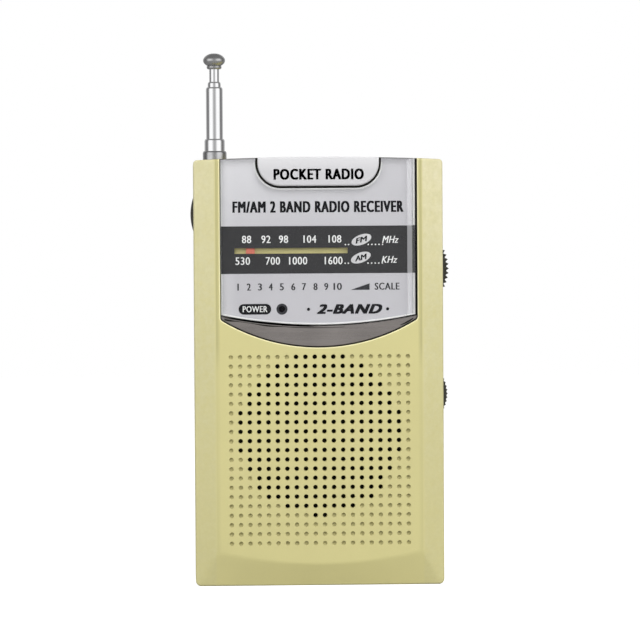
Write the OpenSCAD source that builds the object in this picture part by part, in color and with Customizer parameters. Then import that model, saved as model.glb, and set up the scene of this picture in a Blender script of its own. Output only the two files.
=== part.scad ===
// Pocket AM/FM transistor radio. Units are millimetres.
// X is to the right seen from the front, Y runs from the front to the back, Z is up.
// The origin is the middle of the flat base that the radio stands on.

/* [Cabinet] */
// Width of the cabinet
cabinet_w = 69.6; // [69:0.1:72]
// Height of the cabinet at the middle of its crowned top
cabinet_h = 119.7; // [118:0.1:126]
// Depth of the cabinet from the grille face to the back
cabinet_d = 28; // [28:0.5:32]
// Rise of the crowned top from its corners to its middle
crown_h = 0.8; // [0.4:0.1:1.2]
// Wall thickness of the two shells
wall = 2; // [1.8:0.1:2.2]
// Radius of the bottom corners seen from the front
corner_r = 1.5; // [0.8:0.1:3]
// Radius of the top corners seen from the front
top_corner_r = 1; // [0.6:0.1:1.6]
// Width of the sloping rail down each side of the front
rail_w = 6.2; // [5.8:0.1:6.8]
// How far the side rails fall back from the grille face
rail_drop = 2.6; // [1.8:0.1:2.8]
// How far the sloping chin falls back at the base
chin_drop = 2.1; // [1.4:0.1:2.3]

/* [Grille] */
// Distance between neighbouring grille holes
grille_pitch = 2.6; // [2.5:0.02:2.62]
// Diameter of a grille hole
grille_hole_d = 1.2; // [0.9:0.05:1.5]
// Depth of the blind dimples outside the open circle
dimple_depth = 0.6; // [0.3:0.05:0.9]

/* [Dial] */
// Width of the recess that holds the dial plate
recess_w = 55.2; // [54.8:0.1:55.6]
// Width of the badge plate at the top of the dial
badge_w = 33.8; // [30:0.1:36]
// Height of the black scale's window slot
window_h = 1.6; // [1.2:0.1:2]

/* [Controls] */
// Radius of the tuning wheel over its teeth
tuning_r = 12.5; // [12.2:0.1:12.8]
// Number of teeth round the tuning wheel
tuning_teeth = 60; // [40:1:72]
// Radius of the volume wheel over its teeth
volume_r = 9.6; // [9.2:0.1:9.9]
// Number of teeth round the volume wheel
volume_teeth = 56; // [40:1:64]

/* [Aerial] */
// Outside diameters of the five telescopic sections, widest first
aerial_d = [6.7, 5.7, 4.7, 3.65, 2.75]; // fixed set of tube sizes
// Length of each sliding section
aerial_len = 71.5; // [60:0.5:71.5]

/* [Hidden] */
$fn = 48;

// Planes of the two shells
half_w = cabinet_w / 2;
front_y = -cabinet_d / 2;
back_y = cabinet_d / 2;
part_y = -3.6;                      // parting plane between the shells
inner_w = half_w - wall;
inner_top = cabinet_h - 2.7;
crown_r = (half_w * half_w + crown_h * crown_h) / (2 * crown_h);
crown_centre_z = cabinet_h - crown_r;
top_arc_x = half_w - top_corner_r;
top_arc_z = crown_centre_z + sqrt(pow(crown_r - top_corner_r, 2) - pow(top_arc_x, 2));
face_w = half_w - rail_w;           // half width of the flat grille face
rail_slope = rail_drop / rail_w;

// Chin: the grille face ends below in a shallow arc
chin_mid_z = 6.2;
chin_side_z = 9.6;
chin_foot_z = 0.5;
chin_r = (pow(face_w, 2) + pow(chin_side_z - chin_mid_z, 2)) / (2 * (chin_side_z - chin_mid_z));
chin_steps = 14;

// Grille
grille_cols = 20;
grille_rows = 21;
grille_top_z = 64;
grille_mid_row = 8.2;               // row number, from the top, at the middle of the open circle
grille_open_r = 8.86 * grille_pitch;

// Loudspeaker, centred behind the open circle
speaker_z = grille_top_z - grille_mid_row * grille_pitch;
speaker_r = 25;
seat_y = -10.2;                     // where the loudspeaker's gasket meets its seat
seat_r = 23.9;
speaker_fix_r = 26.8;
speaker_fix_angles = [45, 135, 225, 315];

// Dial recess, its lens, badge and trim
recess_y = -11.8;                   // floor of the recess
dial_back_y = -10.3;                // inside face of the recess floor
recess_arc_z = 66.6;
recess_arc_r = 52.3;
lens_left = -27.3;
lens_right = 27.0;
lens_arc_z = 72.9;
lens_arc_r = 133.5;
lens_y = -13.8;
scale_t = 0.3;                      // thickness of the printed scale behind the lens
badge_z = 111.6;
badge_r = 6.4;
badge_gap = 0.6;
badge_y = -14.1;
trim_y = -13.3;
window_z = 93.57;
window_x = [-23.8, 8.1];
led_x = -10.3;
led_z = 77.3;

// Tuning drive: wheel, cord drum, idlers and pointer
tuning_x = 24.3;
tuning_z = 88.3;
tuning_y = [-6.4, -2.2];
cord_y = -8.5;
cord_r = 0.4;
drum_cord_r = 7.8;                  // radius of the cord's centreline on the drum
drum_y = [-9.6, -7.4];
drum_flange_r = 8.4;
idler_cord_r = 2.6;
idler_x = -27.2;
idler_y = [-9.5, -7.5];
cord_top_z = tuning_z + drum_cord_r;
cord_low_z = tuning_z - drum_cord_r;
idler_upper_z = cord_top_z - idler_cord_r;
idler_lower_z = cord_low_z + idler_cord_r;
pointer_x = -19;
pointer_travel = [-1.25, 23.4];
shaft_r = 3;

// Volume control
volume_x = 26.8;
volume_z = 53.1;
volume_y = [-5.9, -2.5];
volume_shaft_r = 2;

// Band switch on the left side
band_y = 5.3;
band_z = 103.9;
band_travel = 2.5;
band_knob_l = 9.6;
band_knob_out = 0.8;

// Earphone jack on the left side
jack_y = 4.4;
jack_z = 56;
jack_bore_r = 1.8;

// Circuit board
board_y = [7.4, 9.0];
board_x = 31.5;
board_z = [35, 110];
board_fixings = [[29, 102], [-28.6, 92], [-28.6, 66], [18, 40]];

// Case screws
case_fixings = [[-21, 113.8], [29.3, 113.4], [-29.3, 38], [29.3, 38]];
case_head_y = 4;

// Battery bay for two AA cells lying across the radio
bay_x = 28;
bay_wall = 1.2;
door_w = 57;
door_h = 34;
door_t = 1.5;
door_y = back_y - door_t;
tongue_w = 1.2;
cell_r = 7.25;
cell_y = 4.95;
cell_z = [9.55, 24.35];
spring_wire_r = 0.35;

// Aerial
aerial_x = -28.7;
aerial_y = part_y;
aerial_bottom = 50;
aerial_tops = [121.6, 125.0, 139.5, 141.0, 144.5];
aerial_bore = [5.9, 4.9, 3.85, 2.95];
aerial_cap_d = 6.2;

// ---------- helpers ----------

// Extrudes a front-view outline, drawn in X and Z, from y0 to y1
module along_y(y0, y1) {
    translate([0, y1, 0]) rotate([90, 0, 0]) linear_extrude(height = y1 - y0) children();
}

// Extrudes a side-view outline, drawn in Y and Z, from x0 to x1
module along_x(x0, x1) {
    translate([x0, 0, 0]) rotate([90, 0, 90]) linear_extrude(height = x1 - x0) children();
}

module rod_y(x, z, r, y0, y1) {
    translate([x, y1, z]) rotate([90, 0, 0]) cylinder(r = r, h = y1 - y0);
}

module rod_x(y, z, r, x0, x1) {
    translate([x0, y, z]) rotate([0, 90, 0]) cylinder(r = r, h = x1 - x0);
}

module tube_y(x, z, r_in, r_out, y0, y1) {
    difference() {
        rod_y(x, z, r_out, y0, y1);
        rod_y(x, z, r_in, y0 - 1, y1 + 1);
    }
}

// Box given by its two opposite corners
module block(low, high) {
    translate(low) cube(high - low);
}

module rounded_rect(x0, z0, x1, z1, r) {
    union() {
        translate([x0 + r, z0]) square([x1 - x0 - 2 * r, z1 - z0]);
        translate([x0, z0 + r]) square([x1 - x0, z1 - z0 - 2 * r]);
        for (x = [x0 + r, x1 - r], z = [z0 + r, z1 - r]) translate([x, z]) circle(r = r);
    }
}

// Everything under the crowned top, lowered by drop
module under_crown(drop = 0) {
    translate([0, crown_centre_z - drop]) circle(r = crown_r, $fn = 720);
}

// Revolves a profile of [radius, distance] points about a line along +Y through x, z
module turned_y(x, z, profile) {
    translate([x, 0, z]) rotate([-90, 0, 0]) rotate_extrude() polygon(profile);
}

// Revolves a profile of [radius, height] points about the aerial's axis
module turned_aerial(profile) {
    translate([aerial_x, aerial_y, 0]) rotate_extrude() polygon(profile);
}

// Outline of a wheel with pointed teeth, tip radius r
module toothed_outline(r, teeth, depth) {
    polygon([for (i = [0 : teeth - 1], k = [0 : 3])
        let (a = 360 * (i + [0, 0.3, 0.5, 0.7][k]) / teeth, q = r - depth * [0, 0.85, 1, 0.85][k])
        [q * cos(a), q * sin(a)]]);
}

function unit(v) = v / norm(v);
function path_tangent(p, i) = unit(p[min(i + 1, len(p) - 1)] - p[max(i - 1, 0)]);
function side_of(t, ref) = unit(ref - t * (ref * t));

// Round wire along a list of points; ref is any direction that the path never follows
module wire(points, r, sides, ref) {
    n = len(points);
    rings = [for (i = [0 : n - 1], k = [0 : sides - 1])
        let (t = path_tangent(points, i), u = side_of(t, ref), v = cross(t, u), a = 360 * k / sides)
        points[i] + r * (cos(a) * u + sin(a) * v)];
    walls = [for (i = [0 : n - 2], k = [0 : sides - 1])
        let (m = (k + 1) % sides, a = i * sides)
        each [[a + k, a + sides + k, a + sides + m], [a + k, a + sides + m, a + m]]];
    start = [for (k = [1 : sides - 2]) [0, k, k + 1]];
    last = (n - 1) * sides;
    end = [for (k = [1 : sides - 2]) [last, last + k + 1, last + k]];
    polyhedron(points = rings, faces = concat(walls, start, end));
}

// Points on a smooth curve through hand-placed points (Catmull-Rom), steps per span
function smooth_point(a, b, c, d, t) =
    0.5 * (2 * b + (c - a) * t + (2 * a - 5 * b + 4 * c - d) * t * t + (3 * b - a - 3 * c + d) * t * t * t);
function smooth(p, steps) = [
    for (i = [0 : len(p) - 2], s = [0 : steps - 1])
        smooth_point(p[max(i - 1, 0)], p[i], p[i + 1], p[min(i + 2, len(p) - 1)], s / steps),
    p[len(p) - 1]];

// ---------- cabinet ----------

// What a top corner loses outside the arc that meets the side and the crown
module top_corner_waste() {
    meet = [top_arc_x, top_arc_z - crown_centre_z] * crown_r / (crown_r - top_corner_r) + [0, crown_centre_z];
    difference() {
        polygon([[top_arc_x, top_arc_z], [half_w + 1, top_arc_z], [half_w + 1, meet[1] + 1],
                 [meet[0], meet[1] + 1], meet]);
        translate([top_arc_x, top_arc_z]) circle(r = top_corner_r);
    }
}

module cabinet_outline() {
    difference() {
        intersection() {
            rounded_rect(-half_w, 0, half_w, cabinet_h + 20, corner_r);
            under_crown();
        }
        top_corner_waste();
        mirror([1, 0]) top_corner_waste();
    }
}

module recess_outline(grow = 0) {
    intersection() {
        translate([-recess_w / 2 - grow, 60 - grow]) square([recess_w + 2 * grow, 80]);
        translate([0, recess_arc_z + recess_arc_r]) circle(r = recess_arc_r + grow, $fn = 180);
    }
}

function chin_z(x) = chin_mid_z + chin_r - sqrt(chin_r * chin_r - x * x);

// What is cut away in front of the chin: a ruled slope from the arc down to the foot line
module chin_cut() {
    x_of = [for (i = [0 : chin_steps]) (2 * i / chin_steps - 1) * (half_w + 1)];
    points = [for (x = x_of)
        let (top = [x, front_y, chin_z(x)], foot = [x, front_y + chin_drop, chin_foot_z], fall = foot - top)
        each [top - 0.2 * fall, foot + 0.3 * fall, [x, front_y - 2, chin_foot_z - 4]]];
    walls = [for (i = [0 : chin_steps - 1], k = [0 : 2])
        let (a = 3 * i, m = (k + 1) % 3)
        each [[a + k, a + 3 + m, a + 3 + k], [a + k, a + m, a + 3 + m]]];
    last = 3 * chin_steps;
    polyhedron(points = points, faces = concat(walls, [[0, 2, 1]], [[last, last + 1, last + 2]]));
}

function grille_x(col) = (col - (grille_cols - 1) / 2) * grille_pitch;
function grille_z(row) = grille_top_z - row * grille_pitch;
function grille_is_open(col, row) = norm([grille_x(col), grille_z(row) - speaker_z]) < grille_open_r;

// Half the height of a wheel's slot through the side wall
function slot_half(r, x) = sqrt(r * r - pow(inner_w - x, 2)) + 0.5;

module wheel_slots() {
    tuning_half = slot_half(tuning_r, tuning_x);
    volume_half = slot_half(volume_r, volume_x);
    block([inner_w - 1, tuning_y[0] - 0.4, tuning_z - tuning_half],
          [half_w + 1, tuning_y[1] + 0.4, tuning_z + tuning_half]);
    block([inner_w - 1, volume_y[0] - 0.4, volume_z - volume_half],
          [half_w + 1, volume_y[1] + 0.4, volume_z + volume_half]);
}

module aerial_hole() {
    translate([aerial_x, aerial_y, inner_top - 1]) cylinder(d = aerial_d[0] + 0.3, h = 10);
}

module front_cavity() {
    difference() {
        intersection() {
            translate([0, 0, wall]) linear_extrude(height = inner_top - wall)
                polygon([[-inner_w, part_y + 1], [-inner_w, -9.8], [-28, front_y + wall],
                         [28, front_y + wall], [inner_w, -9.8], [inner_w, part_y + 1]]);
            along_x(-half_w, half_w)
                polygon([[part_y + 1, 1], [part_y + 1, cabinet_h], [front_y + wall, cabinet_h],
                         [front_y + wall, 8.5], [-10.2, wall], [-10, 1]]);
        }
        along_y(front_y - 1, dial_back_y) recess_outline(1.5);
    }
}

module front_cabinet() {
    color([0.87, 0.84, 0.62]) difference() {
        union() {
            difference() {
                intersection() {
                    along_y(front_y - 2, part_y + 2) cabinet_outline();
                    translate([0, 0, -1]) linear_extrude(height = cabinet_h + 2)
                        polygon([[-half_w - 1, part_y], [-half_w - 1, front_y + rail_drop + rail_slope],
                                 [-face_w, front_y], [face_w, front_y],
                                 [half_w + 1, front_y + rail_drop + rail_slope], [half_w + 1, part_y]]);
                }
                chin_cut();
                front_cavity();
            }
            // seat for the loudspeaker and bosses for its screws
            tube_y(0, speaker_z, seat_r, speaker_r + 0.6, front_y + wall - 0.5, seat_y);
            for (a = speaker_fix_angles)
                rod_y(speaker_fix_r * cos(a), speaker_z + speaker_fix_r * sin(a), 1.75,
                      front_y + wall - 0.5, -8.8);
            for (p = case_fixings) rod_y(p[0], p[1], 2.4, -11.6, part_y - 0.05);
            for (z = [idler_upper_z, idler_lower_z]) rod_y(idler_x, z, 1.6, -11, -9.6);
            rod_y(aerial_x, aerial_bottom - 2.5, 2.6, -11.4, aerial_y - aerial_d[0] / 2 - 0.05);
        }
        along_y(front_y - 1, recess_y) recess_outline();
        // trough behind the dial window, and the slot for the pointer's neck
        block([-24.6, recess_y - 1, 91.9], [8.9, recess_y + 0.9, 97.4]);
        block([-22, recess_y, 95.3], [6.4, dial_back_y + 1, 96.9]);
        rod_y(led_x, led_z, 1.2, front_y, dial_back_y + 1);
        for (row = [0 : grille_rows - 1], col = [0 : grille_cols - 1])
            rod_y(grille_x(col), grille_z(row), grille_hole_d / 2, front_y - 1,
                  grille_is_open(col, row) ? front_y + wall + 0.5 : front_y + dimple_depth);
        for (a = speaker_fix_angles)
            rod_y(speaker_fix_r * cos(a), speaker_z + speaker_fix_r * sin(a), 0.9, -11.8, -8);
        for (p = case_fixings) rod_y(p[0], p[1], 1, -10, part_y + 1);
        for (z = [idler_upper_z, idler_lower_z]) rod_y(idler_x, z, 0.8, -11.2, -9);
        rod_y(aerial_x, aerial_bottom - 2.5, 1.1, -10.5, aerial_y);
        wheel_slots();
        aerial_hole();
    }
}

// Side view of the battery bay; grow is the wall added outside the space for the cells
module bay_outline(grow) {
    slant = 30.08 + grow * sqrt(2);
    polygon([[door_y + 1, wall - grow], [door_y + 1, 32.2 + grow], [32.2 + grow - slant, 32.2 + grow],
             [-2.6 - grow, slant - 2.6 - grow], [-2.6 - grow, wall - grow]]);
}

module rear_cabinet() {
    color([0.87, 0.84, 0.62]) difference() {
        union() {
            difference() {
                along_y(part_y, back_y) cabinet_outline();
                block([-inner_w, part_y - 1, wall], [inner_w, back_y - wall, inner_top]);
            }
            intersection() {
                along_x(-bay_x - bay_wall, bay_x + bay_wall) bay_outline(bay_wall);
                block([-half_w, part_y, 0.5], [half_w, back_y - 1, 40]);
            }
            for (p = case_fixings) rod_y(p[0], p[1], 3, part_y, back_y - 1);
            for (p = board_fixings) rod_y(p[0], p[1], 2.4, board_y[1], back_y - 1);
        }
        along_x(-bay_x, bay_x) intersection() {
            bay_outline(0);
            translate([-10, wall]) square([40, 40]);
        }
        // opening for the door, its side grooves, and the finger scoop above it
        block([-door_w / 2 - 0.1, door_y - 0.1, -1], [door_w / 2 + 0.1, back_y + 1, door_h + 0.1]);
        block([-door_w / 2 - tongue_w - 0.2, door_y - 0.1, -1],
              [door_w / 2 + tongue_w + 0.2, door_y + 0.8, door_h - 3]);
        for (p = case_fixings) {
            rod_y(p[0], p[1], 2.3, case_head_y, back_y + 1);
            rod_y(p[0], p[1], 1.1, part_y - 1, back_y);
        }
        for (p = board_fixings) rod_y(p[0], p[1], 0.9, board_y[1] - 1, back_y - 1.2);
        // shallow panel for a label
        along_y(back_y - 0.3, back_y + 1) rounded_rect(-20, 62, 20, 92, 2);
        wheel_slots();
        aerial_hole();
        // slot for the band knob and hole for the earphone jack
        block([-half_w - 1, band_y - 1.95, band_z - band_knob_l / 2 - band_travel - 0.25],
              [-inner_w + 1, band_y + 1.95, band_z + band_knob_l / 2 + 0.25]);
        rod_x(jack_y, jack_z, 3.1, -half_w - 1, -inner_w + 1);
    }
}

module battery_door() {
    color([0.87, 0.84, 0.62]) difference() {
        union() {
            block([-door_w / 2, door_y, 0], [door_w / 2, back_y, door_h]);
            for (s = [-1, 1])
                translate([s * (door_w / 2 + tongue_w / 2 - 0.25), 0, 0])
                    block([-tongue_w / 2 - 0.25, door_y, 1],
                          [tongue_w / 2 + 0.25, door_y + 0.7, door_h - 3.2]);
        }
        // thumb grip: an arc-ended dish with ribs left standing
        for (i = [0 : 4]) block([-8, back_y - 0.7, 19 + 1.8 * i], [8, back_y + 1, 20 + 1.8 * i]);
        // arrow that shows which way the door slides
        along_y(back_y - 0.5, back_y + 1) polygon([[-4, 15.5], [4, 15.5], [0, 11]]);
        rod_y(-half_w - 5, 0, 1, 0, 1);
    }
}

module case_screws() {
    color("silver") for (p = case_fixings) difference() {
        union() {
            rod_y(p[0], p[1], 1, -9.8, case_head_y);
            rod_y(p[0], p[1], 2.1, case_head_y, case_head_y + 1.4);
        }
        cross_slot(p[0], p[1], case_head_y + 0.7, case_head_y + 2, 1.3);
    }
}

module cross_slot(x, z, y0, y1, reach) {
    block([x - reach, y0, z - 0.25], [x + reach, y1, z + 0.25]);
    block([x - 0.25, y0, z - reach], [x + 0.25, y1, z + reach]);
}

// ---------- dial ----------

module lens_outline() {
    difference() {
        intersection() {
            translate([lens_left, 60]) square([lens_right - lens_left, 80]);
            translate([0, lens_arc_z + lens_arc_r]) circle(r = lens_arc_r, $fn = 360);
            under_crown(0.1);
        }
        rounded_rect(-badge_w / 2 - badge_gap, badge_z - badge_gap, badge_w / 2 + badge_gap, cabinet_h + 20,
                     badge_r + badge_gap);
    }
}

module dial_lens() {
    color([0.9, 0.93, 0.95, 0.4]) along_y(lens_y, recess_y - scale_t) lens_outline();
}

module dial_scale() {
    color([0.83, 0.83, 0.86]) difference() {
        along_y(recess_y - scale_t, recess_y) lens_outline();
        block([window_x[0], recess_y - 1, window_z - window_h / 2],
              [window_x[1], recess_y + 1, window_z + window_h / 2]);
        rod_y(led_x, led_z, 0.9, recess_y - 1, recess_y + 1);
    }
}

module badge_plate() {
    color([0.86, 0.86, 0.88]) along_y(badge_y, recess_y) intersection() {
        rounded_rect(-badge_w / 2, badge_z, badge_w / 2, cabinet_h + 20, badge_r);
        under_crown(0);
    }
}

module crescent_trim() {
    color([0.5, 0.48, 0.47]) along_y(trim_y, recess_y) difference() {
        recess_outline(-0.1);
        translate([0, lens_arc_z + lens_arc_r]) circle(r = lens_arc_r + 0.15, $fn = 360);
    }
}

module grille_cloth() {
    color([0.08, 0.08, 0.08]) difference() {
        rod_y(0, speaker_z, seat_r - 0.1, front_y + wall, front_y + wall + 0.3);
        along_y(front_y, 0) recess_outline(1.6);
    }
}

// ---------- tuning drive ----------

module tuning_wheel() {
    color([0.12, 0.12, 0.11]) difference() {
        union() {
            translate([tuning_x, 0, tuning_z]) along_y(tuning_y[0], tuning_y[1])
                toothed_outline(tuning_r, tuning_teeth, 0.65);
            rod_y(tuning_x, tuning_z, 6, drum_y[0], tuning_y[1]);
            turned_y(tuning_x, tuning_z,
                [[2.5, drum_y[0]], [drum_flange_r, drum_y[0]], [drum_flange_r, cord_y - 0.55],
                 [drum_cord_r - 0.5, cord_y - 0.55], [drum_cord_r - 0.5, cord_y + 0.55],
                 [drum_flange_r, cord_y + 0.55], [drum_flange_r, drum_y[1]], [2.5, drum_y[1]]]);
        }
        rod_y(tuning_x, tuning_z, shaft_r + 0.01, -7.4, 0);
        rod_y(tuning_x, tuning_z, 1.3, -11, 0);
        rod_y(tuning_x, tuning_z, 2.3, -11, -8.6);
        // moulded well in the back of the rim
        tube_y(tuning_x, tuning_z, 5, 10.6, tuning_y[1] - 1.2, 0);
    }
}

module tuning_screw() {
    color("silver") difference() {
        union() {
            rod_y(tuning_x, tuning_z, 2.1, -9.5, -8.6);
            rod_y(tuning_x, tuning_z, 1.2, -8.6, -4.5);
        }
        cross_slot(tuning_x, tuning_z, -10, -9.1, 1.2);
    }
}

module capacitor_shaft() {
    color([0.75, 0.7, 0.5]) difference() {
        rod_y(tuning_x, tuning_z, shaft_r, -7.4, 1);
        rod_y(tuning_x, tuning_z, 1.2, -8, -4.5);
    }
}

module variable_capacitor() {
    color([0.85, 0.86, 0.82]) difference() {
        union() {
            block([tuning_x - 8, -0.6, tuning_z - 8], [tuning_x + 8, board_y[0], tuning_z + 8]);
            rod_y(tuning_x, tuning_z, 4.4, -1.6, 0);
        }
        rod_y(tuning_x, tuning_z, shaft_r + 0.06, -3, 1.1);
        for (x = [-6.6, 6.6], z = [-6.6, 6.6]) rod_y(tuning_x + x, tuning_z + z, 0.8, -1, 0.6);
    }
}

// Closed loop: half round the drum, a quarter round each idler, straight runs between
module dial_cord() {
    color([0.9, 0.88, 0.8]) translate([0, cord_y, 0]) union() {
        translate([tuning_x, 0, tuning_z]) rotate([90, 0, 0]) rotate_extrude(angle = 180, start = -90)
            translate([drum_cord_r, 0]) circle(r = cord_r);
        translate([idler_x, 0, idler_upper_z]) rotate([90, 0, 0]) rotate_extrude(angle = 90, start = 90)
            translate([idler_cord_r, 0]) circle(r = cord_r);
        translate([idler_x, 0, idler_lower_z]) rotate([90, 0, 0]) rotate_extrude(angle = 90, start = 180)
            translate([idler_cord_r, 0]) circle(r = cord_r);
        for (z = [cord_top_z, cord_low_z]) rod_x(0, z, cord_r, idler_x, tuning_x);
        translate([idler_x - idler_cord_r, 0, idler_lower_z])
            cylinder(r = cord_r, h = idler_upper_z - idler_lower_z);
    }
}

module idler(z) {
    color([0.93, 0.93, 0.9]) turned_y(idler_x, z,
        [[0.86, idler_y[0]], [3.3, idler_y[0]], [3.3, cord_y - 0.55], [idler_cord_r - 0.5, cord_y - 0.55],
         [idler_cord_r - 0.5, cord_y + 0.55], [3.3, cord_y + 0.55], [3.3, idler_y[1]], [0.86, idler_y[1]]]);
}

module idler_upper() { idler(idler_upper_z); }

module idler_lower() { idler(idler_lower_z); }

module idler_pins() {
    color("silver") for (z = [idler_upper_z, idler_lower_z])
        turned_y(idler_x, z, [[0, -11.2], [0.8, -11.2], [0.8, -7.4], [1.5, -7.4], [1.5, -7.1], [0, -7.1]]);
}

module dial_pointer() {
    color([0.8, 0.15, 0.1]) difference() {
        union() {
            block([pointer_x - 1.2, recess_y + 0.2, 92.5], [pointer_x + 1.2, recess_y + 0.7, 96.6]);
            block([pointer_x - 1.2, recess_y + 0.2, 95.6], [pointer_x + 1.2, -9, 96.6]);
            block([pointer_x - 1.6, -9.7, 94.8], [pointer_x + 1.6, -7.4, 97.4]);
        }
        rod_x(cord_y, cord_top_z, cord_r + 0.08, pointer_x - 3, pointer_x + 3);
    }
}

// ---------- volume control ----------

module volume_wheel() {
    color([0.12, 0.12, 0.11]) difference() {
        translate([volume_x, 0, volume_z]) along_y(volume_y[0], volume_y[1])
            toothed_outline(volume_r, volume_teeth, 0.35);
        rod_y(volume_x, volume_z, volume_shaft_r + 0.01, -4.9, 0);
        rod_y(volume_x, volume_z, 1, -7, 0);
        tube_y(volume_x, volume_z, 3.6, 7.8, -7, volume_y[0] + 0.8);
    }
}

module volume_screw() {
    color("silver") difference() {
        union() {
            rod_y(volume_x, volume_z, 1.8, volume_y[0] - 0.9, volume_y[0]);
            rod_y(volume_x, volume_z, 0.9, volume_y[0], -3);
        }
        cross_slot(volume_x, volume_z, -8, volume_y[0] - 0.45, 1);
    }
}

module volume_shaft() {
    color([0.75, 0.7, 0.5]) difference() {
        rod_y(volume_x, volume_z, volume_shaft_r, -4.9, 1);
        rod_y(volume_x, volume_z, 0.9, -6, -3);
    }
}

module volume_control() {
    color([0.35, 0.3, 0.25]) difference() {
        union() {
            rod_y(volume_x, volume_z, 5.8, -1.2, 5);
            block([volume_x - 5, 3, volume_z - 5], [volume_x + 5, board_y[0], volume_z + 5]);
        }
        rod_y(volume_x, volume_z, volume_shaft_r + 0.06, -3, 1.1);
    }
}

// ---------- band switch and earphone jack ----------

module band_knob() {
    arc_r = (pow(band_knob_l / 2, 2) + band_knob_out * band_knob_out) / (2 * band_knob_out);
    color([0.12, 0.12, 0.11]) difference() {
        union() {
            intersection() {
                rod_y(-half_w - band_knob_out + arc_r, band_z, arc_r, band_y - 1.7, band_y + 1.7);
                block([-half_w - 2, band_y - 2, band_z - band_knob_l / 2],
                      [-inner_w + 0.5, band_y + 2, band_z + band_knob_l / 2]);
            }
            // flange that keeps the knob in its slot
            block([-inner_w + 0.3, band_y - 2.8, band_z - 7.6], [-inner_w + 1.1, band_y + 2, band_z + 8.6]);
        }
        block([-33.5, band_y - 0.65, band_z - 0.85], [-30, band_y + 0.65, band_z + 0.85]);
    }
}

module band_switch_lever() {
    color([0.15, 0.15, 0.15])
        block([-33.2, band_y - 0.6, band_z - 0.8], [-29.8, band_y + 0.6, band_z + 0.8]);
}

module band_switch() {
    color("silver") difference() {
        block([-31, band_y - 2.1, band_z - 5.6], [-26.4, board_y[0], band_z + 3.6]);
        block([-32, band_y - 0.75, band_z - band_travel - 1.1], [-29.6, band_y + 0.75, band_z + 1.1]);
    }
}

module earphone_jack() {
    color([0.1, 0.1, 0.1]) difference() {
        union() {
            block([-inner_w + 0.1, jack_y - 3, jack_z - 3.5], [-20, board_y[0], jack_z + 3.5]);
            rod_x(jack_y, jack_z, 2.95, -half_w + 0.2, -inner_w + 0.5);
        }
        rod_x(jack_y, jack_z, jack_bore_r, -half_w - 1, -21.2);
    }
}

module power_led() {
    color([0.5, 0.05, 0.05]) union() {
        rod_y(led_x, led_z, 1.5, -8.6, -4.9);
        translate([led_x, -8.6, led_z]) sphere(r = 1.5);
        rod_y(led_x, led_z, 1.8, -5.7, -4.9);
    }
}

module power_led_leads() {
    color("silver") for (s = [-0.65, 0.65]) rod_y(led_x + s, led_z, 0.25, -4.85, board_y[0]);
}

// ---------- loudspeaker ----------

module speaker_gasket() {
    color([0.2, 0.2, 0.2]) tube_y(0, speaker_z, 22.8, 24.9, seat_y, -9.7);
}

module speaker_basket() {
    color([0.7, 0.7, 0.72]) difference() {
        turned_y(0, speaker_z,
            [[22.9, -9.4], [25, -9.4], [25, -8.8], [22.8, -8.8], [10.8, -1.8], [7.1, -1.8],
             [7.1, -2.4], [10.5, -2.4], [22.3, -9.2]]);
        for (a = [0 : 60 : 300])
            rod_y(17 * cos(a), speaker_z + 17 * sin(a), 3.4, -9, 0);
    }
}

module speaker_cone() {
    color([0.1, 0.1, 0.1]) turned_y(0, speaker_z,
        [[24.6, -9.7], [22.3, -9.7], [21.3, -10], [20.3, -9.7], [6.65, -4.6], [6.65, -4.3],
         [20.4, -9.35], [21.3, -9.65], [22.3, -9.4], [24.6, -9.4]]);
}

module speaker_dust_cap() {
    color([0.06, 0.06, 0.06]) turned_y(0, speaker_z,
        [[0, -6.5], [1.8, -6.35], [3.6, -5.9], [5.2, -5.25], [6.4, -4.95], [6.4, -4.65],
         [5.1, -4.95], [3.5, -5.6], [1.8, -6.05], [0, -6.2]]);
}

module voice_coil() {
    color([0.75, 0.4, 0.2]) tube_y(0, speaker_z, 6.2, 6.65, -4.6, 0);
}

module speaker_magnet() {
    color([0.6, 0.6, 0.62]) difference() {
        rod_y(0, speaker_z, 9, -1.8, 2.8);
        tube_y(0, speaker_z, 5.7, 7.05, -3, 1.2);
    }
}

module speaker_washers() {
    color("silver") for (a = speaker_fix_angles)
        tube_y(speaker_fix_r * cos(a), speaker_z + speaker_fix_r * sin(a), 0.95, 3.2, -8.8, -8.3);
}

module speaker_screws() {
    color("silver") for (a = speaker_fix_angles)
        translate([speaker_fix_r * cos(a), 0, speaker_z + speaker_fix_r * sin(a)]) difference() {
            union() {
                rod_y(0, 0, 0.9, -11.7, -8.3);
                rod_y(0, 0, 1.8, -8.3, -7.4);
            }
            cross_slot(0, 0, -7.8, -7, 1.1);
        }
}

// ---------- circuit board ----------

module circuit_board() {
    color([0.75, 0.6, 0.35]) difference() {
        along_y(board_y[0], board_y[1]) difference() {
            translate([-board_x, board_z[0]]) square([2 * board_x, board_z[1] - board_z[0]]);
            for (p = case_fixings) translate(p) circle(r = 3.4);
            for (p = board_fixings) translate(p) circle(r = 1.1);
        }
        block([-half_w, 0, 0], [-27, 12, 44]);
        block([27, 0, 0], [half_w, 12, 44]);
    }
}

module board_screws() {
    color("silver") for (p = board_fixings) difference() {
        union() {
            rod_y(p[0], p[1], 0.9, board_y[0], 12.6);
            rod_y(p[0], p[1], 1.9, board_y[0] - 1, board_y[0]);
        }
        cross_slot(p[0], p[1], 6, board_y[0] - 0.5, 1.1);
    }
}

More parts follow.
